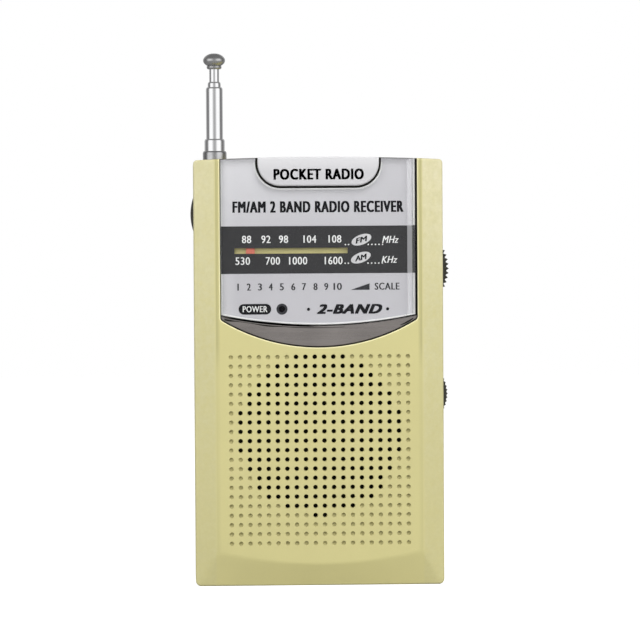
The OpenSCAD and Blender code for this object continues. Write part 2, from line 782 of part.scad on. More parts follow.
chip_x = -4;
chip_z = 72.5;
module receiver_chip() {
    color([0.1, 0.1, 0.1]) union() {
        block([chip_x - 13, 4, chip_z - 3.4], [chip_x + 13, 7, chip_z + 3.4]);
        for (i = [0 : 13], s = [-1, 1])
            block([chip_x - 12 + 1.78 * i, 5.4, chip_z + (s > 0 ? 3.4 : -4.1)],
                  [chip_x - 11.4 + 1.78 * i, board_y[0], chip_z + (s > 0 ? 4.1 : -3.4)]);
    }
}

module if_transformers() {
    color("silver") for (x = [-17, -8, 1]) difference() {
        block([x - 3.5, 0, 84.5], [x + 3.5, board_y[0], 91.5]);
        rod_y(x, 88, 2, -1, 0.8);
    }
}

electrolytics = [[8, 84, 3.1, 9], [12, 76, 2.5, 7], [-20, 77, 2.5, 7], [-16, 98, 2.5, 6], [8, 98, 2, 5]];
module electrolytic_capacitors() {
    color([0.1, 0.15, 0.3]) for (c = electrolytics)
        rod_y(c[0], c[1], c[2], board_y[0] - c[3], board_y[0]);
}

ceramics = [[-12, 80], [-3, 80], [3, 80], [-24, 84], [-23, 70], [16, 69], [-2, 97], [2, 97], [13, 99.5]];
module ceramic_capacitors() {
    color([0.8, 0.55, 0.25]) for (c = ceramics)
        translate([c[0], 4.8, c[1]]) union() {
            rod_y(0, 0, 1.9, -0.7, 0.7);
            for (s = [-1, 1]) rod_y(s, 0, 0.2, 0.5, board_y[0] - 4.8);
        }
}

resistor_places = [[-14, 94], [-8, 96], [7, 92], [-20, 62], [-15, 57], [20, 72]];
module resistors() {
    color([0.8, 0.7, 0.5]) for (p = resistor_places) union() {
        rod_x(6.3, p[1], 0.9, p[0] - 2.2, p[0] + 2.2);
        for (s = [-1, 1]) rod_x(6.3, p[1], 0.25, p[0] + s * 2.9 - 0.75, p[0] + s * 2.9 + 0.75);
        for (s = [-1, 1]) rod_y(p[0] + s * 3.4, p[1], 0.25, 6.3, board_y[0]);
    }
}

rod_axis_y = 2.5;
rod_axis_z = 106;
rod_rad = 4;
module ferrite_rod() {
    color([0.2, 0.2, 0.22]) rod_x(rod_axis_y, rod_axis_z, rod_rad, -22, 24);
}

module ferrite_coils() {
    color([0.75, 0.4, 0.2]) for (span = [[-12, 2], [8, 12]]) difference() {
        rod_x(rod_axis_y, rod_axis_z, rod_rad + 0.7, span[0], span[1]);
        rod_x(rod_axis_y, rod_axis_z, rod_rad, span[0] - 1, span[1] + 1);
    }
}

module ferrite_holders() {
    color([0.9, 0.9, 0.88]) for (x = [-18, 18]) difference() {
        block([x - 2, rod_axis_y, rod_axis_z - 5.4], [x + 2, board_y[0], rod_axis_z + 3.9]);
        rod_x(rod_axis_y, rod_axis_z, rod_rad, x - 3, x + 3);
    }
}

// ---------- battery contacts ----------

// Points of a conical coil spring along X: base at x0, tip at x1
function coil_points(x0, x1, z, r0, r1, turns, steps) = [for (i = [0 : turns * steps])
    let (s = i / (turns * steps), a = 360 * i / steps, r = r0 + (r1 - r0) * s)
    [x0 + (x1 - x0) * s, cell_y + r * cos(a), z + r * sin(a)]];

module contact_spring(x0, x1, z) {
    wire(coil_points(x0, x1, z, 4.2, 2.4, 4, 16), spring_wire_r, 6, [1, 0, 0]);
}

module contact_plate(x0, x1, z) {
    block([x0, cell_y - 5.5, z - 5.5], [x1, cell_y + 5.5, z + 5.5]);
}

module battery_contact_left() {
    color("silver") union() {
        contact_plate(-bay_x, -bay_x + 0.5, cell_z[1]);
        contact_spring(-bay_x + 0.8, -bay_x + 4.6, cell_z[1]);
    }
}

module battery_contact_plus() {
    color("silver") union() {
        contact_plate(-bay_x, -bay_x + 0.5, cell_z[0]);
        rod_x(cell_y, cell_z[0], 3, -bay_x + 0.4, -bay_x + 1.3);
    }
}

module battery_contact_bridge() {
    color("silver") union() {
        block([bay_x - 0.5, cell_y - 5.5, cell_z[0] - 5.5], [bay_x, cell_y + 5.5, cell_z[1] + 5.5]);
        rod_x(cell_y, cell_z[1], 3, bay_x - 1.3, bay_x - 0.4);
        contact_spring(bay_x - 0.8, bay_x - 4.6, cell_z[0]);
    }
}

battery_wire_routes = [
    [[-30.2, 2, 12], [-31.3, 2, 14], [-31.7, 1, 22], [-31.7, -1, 31], [-27, 0, 35], [-24, 4, 38],
     [-23, 6.9, 39]],
    [[-30.2, 2, 26], [-30.4, 0, 30], [-29.4, -1.8, 32.4], [-25.5, -1, 34.4], [-22, 2.5, 37], [-20, 6.9, 41]]];
module battery_wires() {
    color("red") for (route = battery_wire_routes) wire(smooth(route, 4), 0.5, 8, [0.2, 1, 0.1]);
}

speaker_wire_routes = [
    [[8.9, -2.7, 32.2], [12, -0.5, 33.8], [14, 2.2, 37.5], [13, 5, 46], [11, 6.9, 50]],
    [[11.2, -2.7, 34.8], [14.5, -0.5, 36.2], [16.5, 3, 41], [16, 5, 49], [14, 6.9, 52]]];
module speaker_wires() {
    color("black") for (route = speaker_wire_routes) wire(smooth(route, 4), 0.5, 8, [1, 0.1, 0.05]);
}

// ---------- aerial ----------

// One tube with a rolled-in mouth: outer radius ro, bore radius ri, from z0 to z1
module aerial_tube(ro, ri, z0, z1) {
    turned_aerial([[ri, z0], [ro, z0], [ro, z1 - 0.7], [ro - 0.1, z1 - 0.3], [ro - 0.3, z1], [ri, z1]]);
}

// A section that slides inside the next wider one; i counts from the widest
module sliding_tube(i) {
    aerial_tube(aerial_d[i] / 2, aerial_bore[i] / 2, aerial_tops[i] - aerial_len, aerial_tops[i]);
}

module aerial_section_1() {
    color("silver") aerial_tube(aerial_d[0] / 2, aerial_bore[0] / 2, aerial_bottom, aerial_tops[0]);
}

module aerial_section_2() {
    color("silver") sliding_tube(1);
}

module aerial_section_3() {
    color("silver") sliding_tube(2);
}

module aerial_section_4() {
    color("silver") sliding_tube(3);
}

module aerial_rod() {
    r = aerial_d[4] / 2;
    color("silver") turned_aerial([[0, aerial_tops[4] - aerial_len], [r, aerial_tops[4] - aerial_len],
                                   [r, aerial_tops[4]], [0, aerial_tops[4]]]);
}

module aerial_cap() {
    r = aerial_cap_d / 2;
    z = aerial_tops[4];
    color("silver") translate([aerial_x, aerial_y, 0]) union() {
        translate([0, 0, z]) cylinder(r1 = 1.5, r2 = 2.1, h = 0.4);
        translate([0, 0, z + 0.4]) cylinder(r = 2.1, h = 0.6);
        translate([0, 0, z + 1]) cylinder(r1 = 2.1, r2 = r, h = 1);
        translate([0, 0, z + 2]) cylinder(r = r, h = 0.5);
        intersection() {
            translate([0, 0, z + 2.5 - 1.25]) sphere(r = sqrt(r * r + 1.25 * 1.25));
            translate([0, 0, z + 2.5]) cylinder(r = r + 1, h = 4);
        }
    }
}

module aerial_base() {
    color([0.8, 0.78, 0.7]) difference() {
        translate([aerial_x, aerial_y, aerial_bottom - 5]) cylinder(d = aerial_d[0], h = 5);
        block([aerial_x - 4, aerial_y + 2.2, aerial_bottom - 6], [aerial_x + 4, aerial_y + 4, aerial_bottom]);
        rod_y(aerial_x, aerial_bottom - 2.5, 1.2, -10, 2);
    }
}

module aerial_screw() {
    color("silver") difference() {
        union() {
            rod_y(aerial_x, aerial_bottom - 2.5, 1.1, -10.4, aerial_y + 2.2);
            rod_y(aerial_x, aerial_bottom - 2.5, 2.1, aerial_y + 2.2, aerial_y + 3.4);
        }
        cross_slot(aerial_x, aerial_bottom - 2.5, aerial_y + 2.8, aerial_y + 5, 1.2);
    }
}

aerial_wire_route = [[-26.2, -1, 47.5], [-25, 0, 47.7], [-24.2, 2, 49], [-24, 5, 50], [-24, 6.9, 50]];
module aerial_wire() {
    color("black") wire(smooth(aerial_wire_route, 4), 0.5, 8, [0.1, 0.1, 1]);
}

// ---------- the whole radio ----------

front_cabinet();
rear_cabinet();
battery_door();
case_screws();
dial_lens();
dial_scale();
badge_plate();
crescent_trim();
grille_cloth();
tuning_wheel();
tuning_screw();
variable_capacitor();
capacitor_shaft();
dial_cord();
idler_upper();
idler_lower();
idler_pins();
dial_pointer();
volume_wheel();
volume_screw();
volume_control();
volume_shaft();
band_knob();
band_switch();
band_switch_lever();
earphone_jack();
power_led();
power_led_leads();
speaker_gasket();
speaker_basket();
speaker_cone();
speaker_dust_cap();
voice_coil();
speaker_magnet();
speaker_washers();
speaker_screws();
circuit_board();
board_screws();
receiver_chip();
if_transformers();
electrolytic_capacitors();
ceramic_capacitors();
resistors();
ferrite_rod();
ferrite_coils();
ferrite_holders();
battery_contact_left();
battery_contact_plus();
battery_contact_bridge();
battery_wires();
speaker_wires();
aerial_section_1();
aerial_section_2();
aerial_section_3();
aerial_section_4();
aerial_rod();
aerial_cap();
aerial_base();
aerial_screw();
aerial_wire();
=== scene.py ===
import math
import bpy
import bmesh
from mathutils import Matrix, Vector


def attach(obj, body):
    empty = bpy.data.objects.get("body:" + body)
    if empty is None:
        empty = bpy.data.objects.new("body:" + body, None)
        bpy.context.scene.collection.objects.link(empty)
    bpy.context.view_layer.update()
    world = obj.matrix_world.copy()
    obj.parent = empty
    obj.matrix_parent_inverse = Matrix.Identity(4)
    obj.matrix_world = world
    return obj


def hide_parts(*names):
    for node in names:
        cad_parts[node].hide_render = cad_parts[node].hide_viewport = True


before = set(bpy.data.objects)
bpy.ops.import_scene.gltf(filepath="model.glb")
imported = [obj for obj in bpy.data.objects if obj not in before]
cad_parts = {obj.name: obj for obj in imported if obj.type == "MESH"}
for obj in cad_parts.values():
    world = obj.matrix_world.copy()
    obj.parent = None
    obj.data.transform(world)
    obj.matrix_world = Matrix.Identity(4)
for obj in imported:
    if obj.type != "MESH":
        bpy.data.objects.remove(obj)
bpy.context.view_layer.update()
MM = 0.001

# ---------- dimensions of the cabinet, in millimetres ----------
HALF_W = 34.8
INNER_W = HALF_W - 2
HEIGHT = 119.7
CROWN_R = (HALF_W ** 2 + 0.8 ** 2) / 1.6
FRONT = -14.0
BACK = 14.0
PART = -3.6
FACE_W = 28.6
RAIL_SLOPE = 2.6 / (HALF_W - FACE_W)
CHIN_DROP = 2.1
CHIN_MID = 6.2
CHIN_SIDE = 9.6
CHIN_FOOT = 0.5
CHIN_R = (FACE_W ** 2 + (CHIN_SIDE - CHIN_MID) ** 2) / (2 * (CHIN_SIDE - CHIN_MID))
PITCH = 2.6
GRILLE_TOP = 64.0
GRILLE_ROWS = 21
GRILLE_COLUMNS = 20
SPEAKER_ROW = 8.2
SPEAKER_Z = GRILLE_TOP - SPEAKER_ROW * PITCH
RECESS_Y = -11.8
RECESS_HALF = 27.48
RECESS_Z = 66.6
RECESS_R = 52.3
LENS_L = -27.3
LENS_R = 27.0
LENS_Z = 72.9
LENS_ARC = 133.5
PRINT_Y = -12.1
BADGE_Z = 118.0
LAMP = (-10.3, 77.3)
ABOVE = 126.0  # clear above the cabinet
INTERIOR = (-INNER_W, 2, INNER_W, 117, 1.0)
CASE_SCREWS = ((-21, 113.8), (29.3, 113.4), (-29.3, 38), (29.3, 38))


def crown(x, drop=0.0):
    """Height of the crowned top at x."""
    return HEIGHT - drop - CROWN_R + math.sqrt(CROWN_R ** 2 - x * x)


def chin_line(x):
    """Height where the grille face ends and the chin begins."""
    return CHIN_MID + CHIN_R - math.sqrt(CHIN_R ** 2 - x * x)


def linked(name, data):
    """A new object in the scene."""
    ob = bpy.data.objects.new(name, data)
    bpy.context.collection.objects.link(ob)
    return ob


# ---------- camera, in metres ----------
CAM_DISTANCE = 1.0
VIEW_WIDTH = 0.1786
SENSOR = 36.0
CAM_YAW = math.radians(2.15)
CAM_PITCH = math.radians(1.55)
CAM_ROLL = math.radians(0.34)
cam_data = bpy.data.cameras.new("camera")
cam = linked("camera", cam_data)
level_right = Vector((math.cos(CAM_YAW), -math.sin(CAM_YAW), 0))
level_up = Vector((math.sin(CAM_YAW) * math.sin(CAM_PITCH), math.cos(CAM_YAW) * math.sin(CAM_PITCH),
                   math.cos(CAM_PITCH)))
outward = level_right.cross(level_up)
cam_right = level_right * math.cos(CAM_ROLL) - level_up * math.sin(CAM_ROLL)
cam_up = level_right * math.sin(CAM_ROLL) + level_up * math.cos(CAM_ROLL)
cam_axes = Matrix((cam_right, cam_up, outward)).transposed().to_4x4()
aim = Vector((0, -0.012, 0.075)) + level_right * 0.0003 - level_up * 0.0008
cam.matrix_world = Matrix.Translation(aim + outward * CAM_DISTANCE) @ cam_axes
cam_data.sensor_width = SENSOR
cam_data.lens = SENSOR * CAM_DISTANCE / VIEW_WIDTH
cam_data.clip_start = 0.01
cam_data.clip_end = 20.0
bpy.context.scene.camera = cam


# ---------- materials ----------
def cleared(owner):
    """The emptied node tree of a material or a world."""
    owner.use_nodes = True
    owner.node_tree.nodes.clear()
    return owner.node_tree


def add(nt, kind, inputs=None, **settings):
    """A new node. inputs gives sockets, by name or number, a value or another node's output."""
    n = nt.nodes.new(kind)
    for name, value in settings.items():
        setattr(n, name, value)
    for socket, value in (inputs or {}).items():
        if isinstance(value, bpy.types.NodeSocket):
            nt.links.new(value, n.inputs[socket])
        else:
            n.inputs[socket].default_value = value
    return n


def maths(nt, operation, *values):
    return add(nt, "ShaderNodeMath", dict(enumerate(values)), operation=operation).outputs[0]


def noise(nt, where, scale, detail=3.0, rough=0.55):
    inputs = {"Vector": where, "Scale": scale, "Detail": detail, "Roughness": rough}
    return add(nt, "ShaderNodeTexNoise", inputs).outputs["Fac"]


def ranged(nt, fac, low, high, start=0.3, end=0.7):
    """fac from start to end, spread over low to high."""
    inputs = {"Value": fac, "From Min": start, "From Max": end, "To Min": low, "To Max": high}
    return add(nt, "ShaderNodeMapRange", inputs).outputs["Result"]


def opaque(colour):
    return colour if isinstance(colour, bpy.types.NodeSocket) else (*colour, 1)


def mixed(nt, fac, one, two, blend="MIX"):
    """Mix of two colours, each three numbers or another node's output."""
    inputs = {0: fac, 6: opaque(one), 7: opaque(two)}
    return add(nt, "ShaderNodeMix", inputs, data_type="RGBA", blend_type=blend).outputs[2]


def coordinate(nt, where, axis):
    """One object coordinate in metres; "side" is the distance from the middle plane."""
    split = add(nt, "ShaderNodeSeparateXYZ", {0: where})
    if axis == "side":
        return maths(nt, "ABSOLUTE", split.outputs["X"])
    return split.outputs[axis]


def mask(nt, where, ramps):
    """Product of linear ramps, each (axis, start in mm, end in mm, value at start, value at end)."""
    total = None
    for axis, start, end, low, high in ramps:
        one = ranged(nt, coordinate(nt, where, axis), low, high, start * MM, end * MM)
        total = one if total is None else maths(nt, "MULTIPLY", total, one)
    return total


def scaled(colour, k):
    return tuple(min(1.0, max(0.0, c * k)) for c in colour)


SPECK = (0.86, 0.86, 0.86)
SCUFF_TONE = 1.18


def material(name, colour, rough, metal=0.0, vary=0.06, scale=60, uneven=0.06, grain=1500,
             bump=0.15, stretch=(1, 1, 1), coat=0.0, coat_rough=0.1, alpha=1.0, ior=1.5, scuff=0.0,
             sheen=0.0, distance=0.00002, zones=()):
    """A procedural surface: two-tone mottling, fine grain in the bump, uneven gloss and pale scuffs.

    Each zone, (colour, scale of its mottling or 0, ramps for mask), tints a part of the surface.
    """
    m = bpy.data.materials.new(name)
    nt = cleared(m)
    where = add(nt, "ShaderNodeTexCoord").outputs["Object"]
    stretched = add(nt, "ShaderNodeMapping", {"Vector": where, "Scale": stretch}).outputs[0]
    fine = noise(nt, stretched, grain, 2.0)
    broad = ranged(nt, noise(nt, where, scale), 0, 1)
    base = mixed(nt, broad, scaled(colour, 1 - vary), scaled(colour, 1 + vary))
    specks = mixed(nt, ranged(nt, fine, 0, 1), SPECK, (1, 1, 1))
    tone = mixed(nt, min(1.0, vary * 4), base, specks, "MULTIPLY")
    broken = noise(nt, stretched, scale * 4)
    gloss = ranged(nt, broken, max(0.02, rough - uneven), rough + uneven)
    if scuff:
        marks = ranged(nt, noise(nt, where, 220, 6.0, 0.75), 0, 1, 0.60, 0.72)
        tone = mixed(nt, maths(nt, "MULTIPLY", marks, scuff), tone, scaled(colour, SCUFF_TONE))
    for toward, mottle, ramps in zones:
        amount = mask(nt, where, ramps)
        if mottle:
            patches = ranged(nt, noise(nt, where, mottle, 4.0, 0.7), 0.2, 1)
            amount = maths(nt, "MULTIPLY", amount, patches)
        tone = mixed(nt, amount, tone, toward)
    surface = add(nt, "ShaderNodeBsdfPrincipled", {
        "Base Color": tone, "Roughness": gloss, "Metallic": metal, "IOR": ior, "Alpha": alpha,
        "Coat Weight": coat, "Coat Roughness": coat_rough, "Sheen Weight": sheen})
    if bump:
        relief = add(nt, "ShaderNodeBump", {"Strength": bump, "Distance": distance, "Height": fine})
        nt.links.new(relief.outputs[0], surface.inputs["Normal"])
    add(nt, "ShaderNodeOutputMaterial", {0: surface.outputs[0]})
    return m


CREAM = (0.64, 0.59, 0.275)
# shade in the groove beside each side rail
GROOVE = (scaled(CREAM, 0.6), 0, (
    ("side", 27.5, 28.45, 0, 0.6), ("side", 28.6, 28.9, 1, 0), ("Y", -13.5, -13.2, 1, 0),
    ("Z", 60.0, 68.0, 0.3, 1), ("Z", 9.0, 11.0, 0, 1)))


def on_rails(strength):
    """Ramps that keep a tint to the sloping side rails of the front."""
    return ("side", 28.7, 29.4, 0, strength), ("Y", -10.0, -9.0, 1, 0)


# painted sheen and highlight on the rails, with mottling: a paler mottled tint, a painted highlight on their
# upper part that is stronger on the right, and darker fine mottling
RAILS = (((0.69, 0.66, 0.43), 420, (*on_rails(0.65), ("Z", 20.0, 80.0, 0.4, 1))),
         ((0.92, 0.86, 0.66), 300, (*on_rails(0.6), ("Z", 75.0, 115.0, 0, 1), ("X", -1.0, 1.0, 0.5, 1))),
         (scaled(CREAM, 0.8), 900, on_rails(0.3)))


def metal(name, colour, rough, **more):
    return material(name, colour, rough, metal=1.0, **more)


def clear(name, colour, rough, alpha, uneven=0.03, **more):
    return material(name, colour, rough, alpha=alpha, uneven=uneven, grain=400, bump=0.0, **more)


M = {
    "cream": material("cream_plastic", CREAM, 0.42, vary=0.025, scale=35, grain=2600, bump=0.5,
                      uneven=0.05, scuff=0.12, distance=0.00003, zones=(GROOVE, *RAILS)),
    # painted shade: near black on the recess walls and on the trim's grooves, where only shade falls
    "gap": material("shadow_gap", (0.012, 0.0115, 0.008), 0.8, vary=0.1, bump=0.1),
    # painted shade: darker cream in the dimples and the mouths of the grille holes
    "dimple": material("dimple_painted_shade", scaled(CREAM, 0.72), 0.6, vary=0.05, grain=2600, bump=0.1),
    # painted highlight: paler cream on the rounded lip around the dial recess
    "lip": material("lip_painted_highlight", (0.86, 0.81, 0.47), 0.35, vary=0.03, scale=45, grain=2600, bump=0.2),
    "black": material("black_plastic", (0.038, 0.037, 0.03), 0.42, vary=0.18, scale=90, grain=2200,
                      bump=0.5, scuff=0.5),
    "white": material("white_plastic", (0.72, 0.71, 0.66), 0.45, vary=0.03),
    # its zones are painted light: paler towards the top, more so on the left, and a painted highlight near
    # the left edge of the plate
    "silver_print": material("silver_print", (0.6, 0.595, 0.625), 0.4, metal=0.1, vary=0.03, scale=30,
                             grain=6000, bump=0.12, coat=0.5, coat_rough=0.06, uneven=0.04, zones=(
        ((0.86, 0.86, 0.88), 0, (("Z", 98.0, 117.0, 0, 0.6), ("X", -20.0, 20.0, 1, 0.35))),
        ((0.88, 0.88, 0.9), 0, (("X", -26.6, -23.0, 0.4, 0),)))),
    "lens_face": clear("lens_face", (0.1, 0.1, 0.12), 0.06, vary=0.01, alpha=0.03, uneven=0.02),
    # painted grey-green band on the rolled right edge, standing in for the view through the thick clear edge
    "lens_edge": clear("lens_edge", (0.3, 0.33, 0.29), 0.08, vary=0.03, alpha=0.22),
    "lens_glint": clear("lens_glint", (0.98, 0.98, 0.98), 0.15, vary=0.01, alpha=0.4, zones=(
        ((0.16, 0.16, 0.17), 0, (("Z", 87.1, 87.3, 0, 1), ("Z", 100.5, 100.7, 1, 0))),)),
    # painted soft highlight on the rolled right edge
    "lens_soft_highlight": clear("lens_soft_highlight", (0.92, 0.92, 0.95), 0.2, vary=0.02, alpha=0.28),
    # painted shade along the top edge of the plate
    "lens_top_shade": clear("lens_top_shade", (0.22, 0.22, 0.23), 0.25, vary=0.05, alpha=0.55),
    # its zone is a painted highlight: paler towards the top
    "badge": material("badge_silver", (0.6, 0.595, 0.61), 0.38, vary=0.02, scale=25, grain=4000,
                      bump=0.06, uneven=0.03, zones=(
        ((0.93, 0.93, 0.94), 0, (("Z", 115.5, 118.5, 0, 0.3),)),)),
    "trim": material("dark_trim", (0.36, 0.33, 0.315), 0.3, metal=0.85, vary=0.12, scale=70,
                     grain=900, stretch=(0.08, 1, 1.6), bump=0.25, uneven=0.08),
    "print_black": material("print_black", (0.019, 0.019, 0.02), 0.33, vary=0.12, grain=3000, bump=0.1,
                            coat=0.6, coat_rough=0.08),
    "ink": material("print_ink", (0.007, 0.007, 0.008), 0.5, vary=0.12, grain=3000, bump=0.05, ior=1.25),
    "print_dark": material("print_dark", (0.036, 0.036, 0.04), 0.5, vary=0.12, grain=3000, bump=0.05,
                           ior=1.3),
    # white print; also used for the painted rim highlight around the dial plate
    "print_white": material("print_white", (0.86, 0.87, 0.86), 0.4, vary=0.04, grain=3000, bump=0.1),
    "print_pale": material("print_pale", (0.66, 0.66, 0.67), 0.4, vary=0.08, scale=400, grain=3000,
                           bump=0.1),
    "chrome": metal("aerial_chrome", (0.78, 0.78, 0.79), 0.13, vary=0.03, scale=120, grain=1200,
                    stretch=(1, 1, 0.1), bump=0.02, uneven=0.02),
    "foot_chrome": metal("foot_chrome", (0.5, 0.5, 0.51), 0.2, vary=0.1, scale=300, grain=1200,
                         bump=0.05, uneven=0.04),
    "satin_chrome": metal("satin_chrome", (0.5, 0.5, 0.5), 0.3, vary=0.08, scale=300, grain=1800,
                          bump=0.08, uneven=0.05),
    "zinc": metal("zinc_screw", (0.56, 0.55, 0.52), 0.32, vary=0.08, scale=300, grain=2500, bump=0.3,
                  uneven=0.1),
    "nickel": metal("nickel_contact", (0.6, 0.57, 0.5), 0.28, vary=0.08, scale=200, grain=1800,
                    stretch=(1, 0.15, 1), bump=0.25, uneven=0.1),
    "brass": metal("brass_shaft", (0.6, 0.44, 0.2), 0.3, vary=0.08, scale=250, grain=1800),
    "tin": metal("tinned_can", (0.55, 0.55, 0.54), 0.35, vary=0.08, scale=180, grain=1600, bump=0.3,
                 uneven=0.1),
    "vane_case": material("capacitor_case", (0.58, 0.62, 0.58), 0.25, vary=0.05, grain=900, coat=0.4),
    "red": material("red_pointer", (0.66, 0.19, 0.13), 0.4, vary=0.06, grain=2200, bump=0.2),
    "led": material("led_lens", (0.004, 0.001, 0.001), 0.6, vary=0.1, grain=800, bump=0.05, ior=1.15),
    "cord": material("dial_cord", (0.62, 0.57, 0.42), 0.8, vary=0.12, scale=800, grain=4000,
                     stretch=(1, 1, 3), bump=0.9, sheen=0.3),
    "laminate": material("brown_laminate", (0.16, 0.075, 0.03), 0.5, vary=0.15, scale=120),
    "board": material("board_laminate", (0.3, 0.15, 0.05), 0.45, vary=0.12, scale=50, grain=900,
                      stretch=(1, 1, 0.2), bump=0.3, coat=0.2),
    "zinc_plate": metal("basket_zinc", (0.42, 0.41, 0.38), 0.38, vary=0.14, scale=90, grain=700,
                        bump=0.3, uneven=0.12),
    "pulp": material("cone_paper", (0.022, 0.021, 0.02), 0.9, vary=0.25, scale=500, grain=2500,
                     bump=1.0, sheen=0.2, distance=0.00006),
    "cloth": material("grille_cloth", (0.008, 0.008, 0.008), 0.95, vary=0.3, scale=900, grain=3500,
                      bump=1.0, sheen=0.1, distance=0.00006),
    "foam": material("foam_gasket", (0.03, 0.03, 0.032), 0.95, vary=0.2, scale=700, grain=3000,
                     bump=1.0, distance=0.00008),
    "copper": material("copper_winding", (0.55, 0.2, 0.08), 0.35, metal=0.9, vary=0.15, scale=200,
                       stretch=(6, 0.2, 0.2), bump=0.8, uneven=0.1),
    "chip": material("chip_epoxy", (0.018, 0.018, 0.018), 0.55, vary=0.15, grain=3500, bump=0.6),
    "sleeve": material("blue_sleeve", (0.02, 0.035, 0.16), 0.3, vary=0.1, grain=900, coat=0.3),
    "dipped": material("dipped_ceramic", (0.46, 0.21, 0.06), 0.35, vary=0.1, scale=400, grain=900,
                       coat=0.3),
    "lacquer": material("resistor_lacquer", (0.5, 0.36, 0.18), 0.35, vary=0.1, scale=400, grain=900),
    "ferrite": material("ground_ferrite", (0.045, 0.046, 0.05), 0.5, vary=0.15, scale=250,
                        grain=1800, bump=0.6),
    "wire_red": material("wire_red", (0.42, 0.02, 0.02), 0.45, vary=0.08, grain=900),
    "wire_black": material("wire_black", (0.02, 0.02, 0.02), 0.45, vary=0.15, grain=900),
}

# materials of the CAD's own pieces
CAD_MATERIALS = {
    "zinc": "case_screws tuning_screw idler_pins volume_screw power_led_leads speaker_washers "
            "speaker_screws board_screws aerial_screw",
    "white": "idler_upper idler_lower ferrite_holders aerial_base",
    "tin": "band_switch speaker_magnet if_transformers",
    "nickel": "battery_contact_left battery_contact_plus battery_contact_bridge",
    "black": "band_switch_lever earphone_jack", "brass": "capacitor_shaft volume_shaft",
    "pulp": "speaker_cone speaker_dust_cap", "copper": "voice_coil ferrite_coils",
    "wire_black": "speaker_wires aerial_wire", "wire_red": "battery_wires", "cord": "dial_cord",
    "cloth": "grille_cloth", "foam": "speaker_gasket", "zinc_plate": "speaker_basket",
    "vane_case": "variable_capacitor", "laminate": "volume_control", "red": "dial_pointer",
    "led": "power_led", "board": "circuit_board", "chip": "receiver_chip",
    "sleeve": "electrolytic_capacitors", "dipped": "ceramic_capacitors", "lacquer": "resistors",
    "ferrite": "ferrite_rod",
}
for key, names in CAD_MATERIALS.items():
    for name in names.split():
        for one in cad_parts[name].material_slots:
            one.material = M[key]


# ---------- mesh helpers ----------
def sweep(outline, stations, axis="y"):
    """Closed solid: the outline repeated at each (position, growth) station along an axis, with flat ends."""
    n = len(outline)
    verts = []
    for pos, grow in stations:
        ring = offset(outline, grow) if grow else outline
        verts += [{"x": (pos, u, v), "y": (u, pos, v), "z": (u, v, pos)}[axis] for u, v in ring]
    last = (len(stations) - 1) * n
    faces = [(a + k, a + (k + 1) % n, a + n + (k + 1) % n, a + n + k)
             for a in range(0, last, n) for k in range(n)]
    faces.append(tuple(range(n)))
    faces.append(tuple(range(last, last + n)))
    return verts, faces


def offset(outline, d):
    """The outline moved outward by d along its corners' bisectors. The outline runs anticlockwise."""
    out = []
    n = len(outline)
    for i in range(n):
        p = Vector(outline[i])
        a = (p - Vector(outline[i - 1])).normalized()
        b = (Vector(outline[(i + 1) % n]) - p).normalized()
        na, nb = Vector((a.y, -a.x)), Vector((b.y, -b.x))
        m = (na + nb) / max(0.35, 1 + na.dot(nb))
        out.append(tuple(p + m * d))
    return out


def arc(cx, cy, r, start, end, n):
    """Points in n equal steps along a circle, from one angle in degrees to another."""
    angles = [math.radians(start + (end - start) * i / n) for i in range(n + 1)]
    return [(cx + r * math.cos(a), cy + r * math.sin(a)) for a in angles]


def rounded(x0, y0, x1, y1, r, n=5):
    """Rectangle with round corners, anticlockwise."""
    return (arc(x1 - r, y0 + r, r, -90, 0, n) + arc(x1 - r, y1 - r, r, 0, 90, n)
            + arc(x0 + r, y1 - r, r, 90, 180, n) + arc(x0 + r, y0 + r, r, 180, 270, n))


def crown_line(x0, x1, drop, n):
    """Points in n equal steps along the crowned top, from x0 to x1."""
    xs = [x0 + (x1 - x0) * i / n for i in range(n + 1)]
    return [(x, crown(x, drop)) for x in xs]


def soft_edge(pos, r, inward, n=4):
    """Stations of a rounded edge that starts at pos; inward is the direction into the solid, +1 or -1."""
    steps = []
    for i in range(n + 1):
        t = math.radians(90 * i / n)
        steps.append((pos + inward * r * (1 - math.cos(t)), -r * (1 - math.sin(t))))
    return steps


def slab(outline, low, high, r_low=0.0, r_high=0.0, n=4):
    """Solid along Y with rounded rims at its two ends."""
    start = soft_edge(low, r_low, 1, n) if r_low else [(low, 0.0)]
    end = soft_edge(high, r_high, -1, n)[::-1] if r_high else [(high, 0.0)]
    return sweep(outline, start + end)


def lathe(profile, centre, axis="z", n=48):
    """Closed surface of revolution. Its (radius, position) profile is closed, or ends on the axis."""
    cx, cy, cz = centre
    verts, faces, rings = [], [], []
    for r, h in profile:
        ring = []
        count = 1 if r < 1e-6 else n
        for k in range(count):
            a = 2 * math.pi * k / n
            u, v = r * math.cos(a), r * math.sin(a)
            ring.append(len(verts))
            verts.append({"x": (h, cy + u, cz + v), "y": (cx + u, h, cz + v), "z": (cx + u, cy + v, h)}[axis])
        rings.append(ring)
    pairs = list(zip(rings, rings[1:]))
    if profile[0][0] > 1e-6:
        pairs.append((rings[-1], rings[0]))
    for a, b in pairs:
        for k in range(n):
            m = (k + 1) % n
            if len(a) == 1:
                faces.append((a[0], b[m], b[k]))
            elif len(b) == 1:
                faces.append((a[k], a[m], b[0]))
            else:
                faces.append((a[k], a[m], b[m], b[k]))
    return verts, faces


def bush(x, z, bore, r, low, high, n=24):
    """A ring along Y, or a plain rod where its bore is 0."""
    return lathe([(bore, low), (r, low), (r, high), (bore, high)], (x, 0, z), "y", n)


def box(low, high):
    return sweep([(low[0], low[2]), (high[0], low[2]), (high[0], high[2]), (low[0], high[2])],
                 [(low[1], 0.0), (high[1], 0.0)])


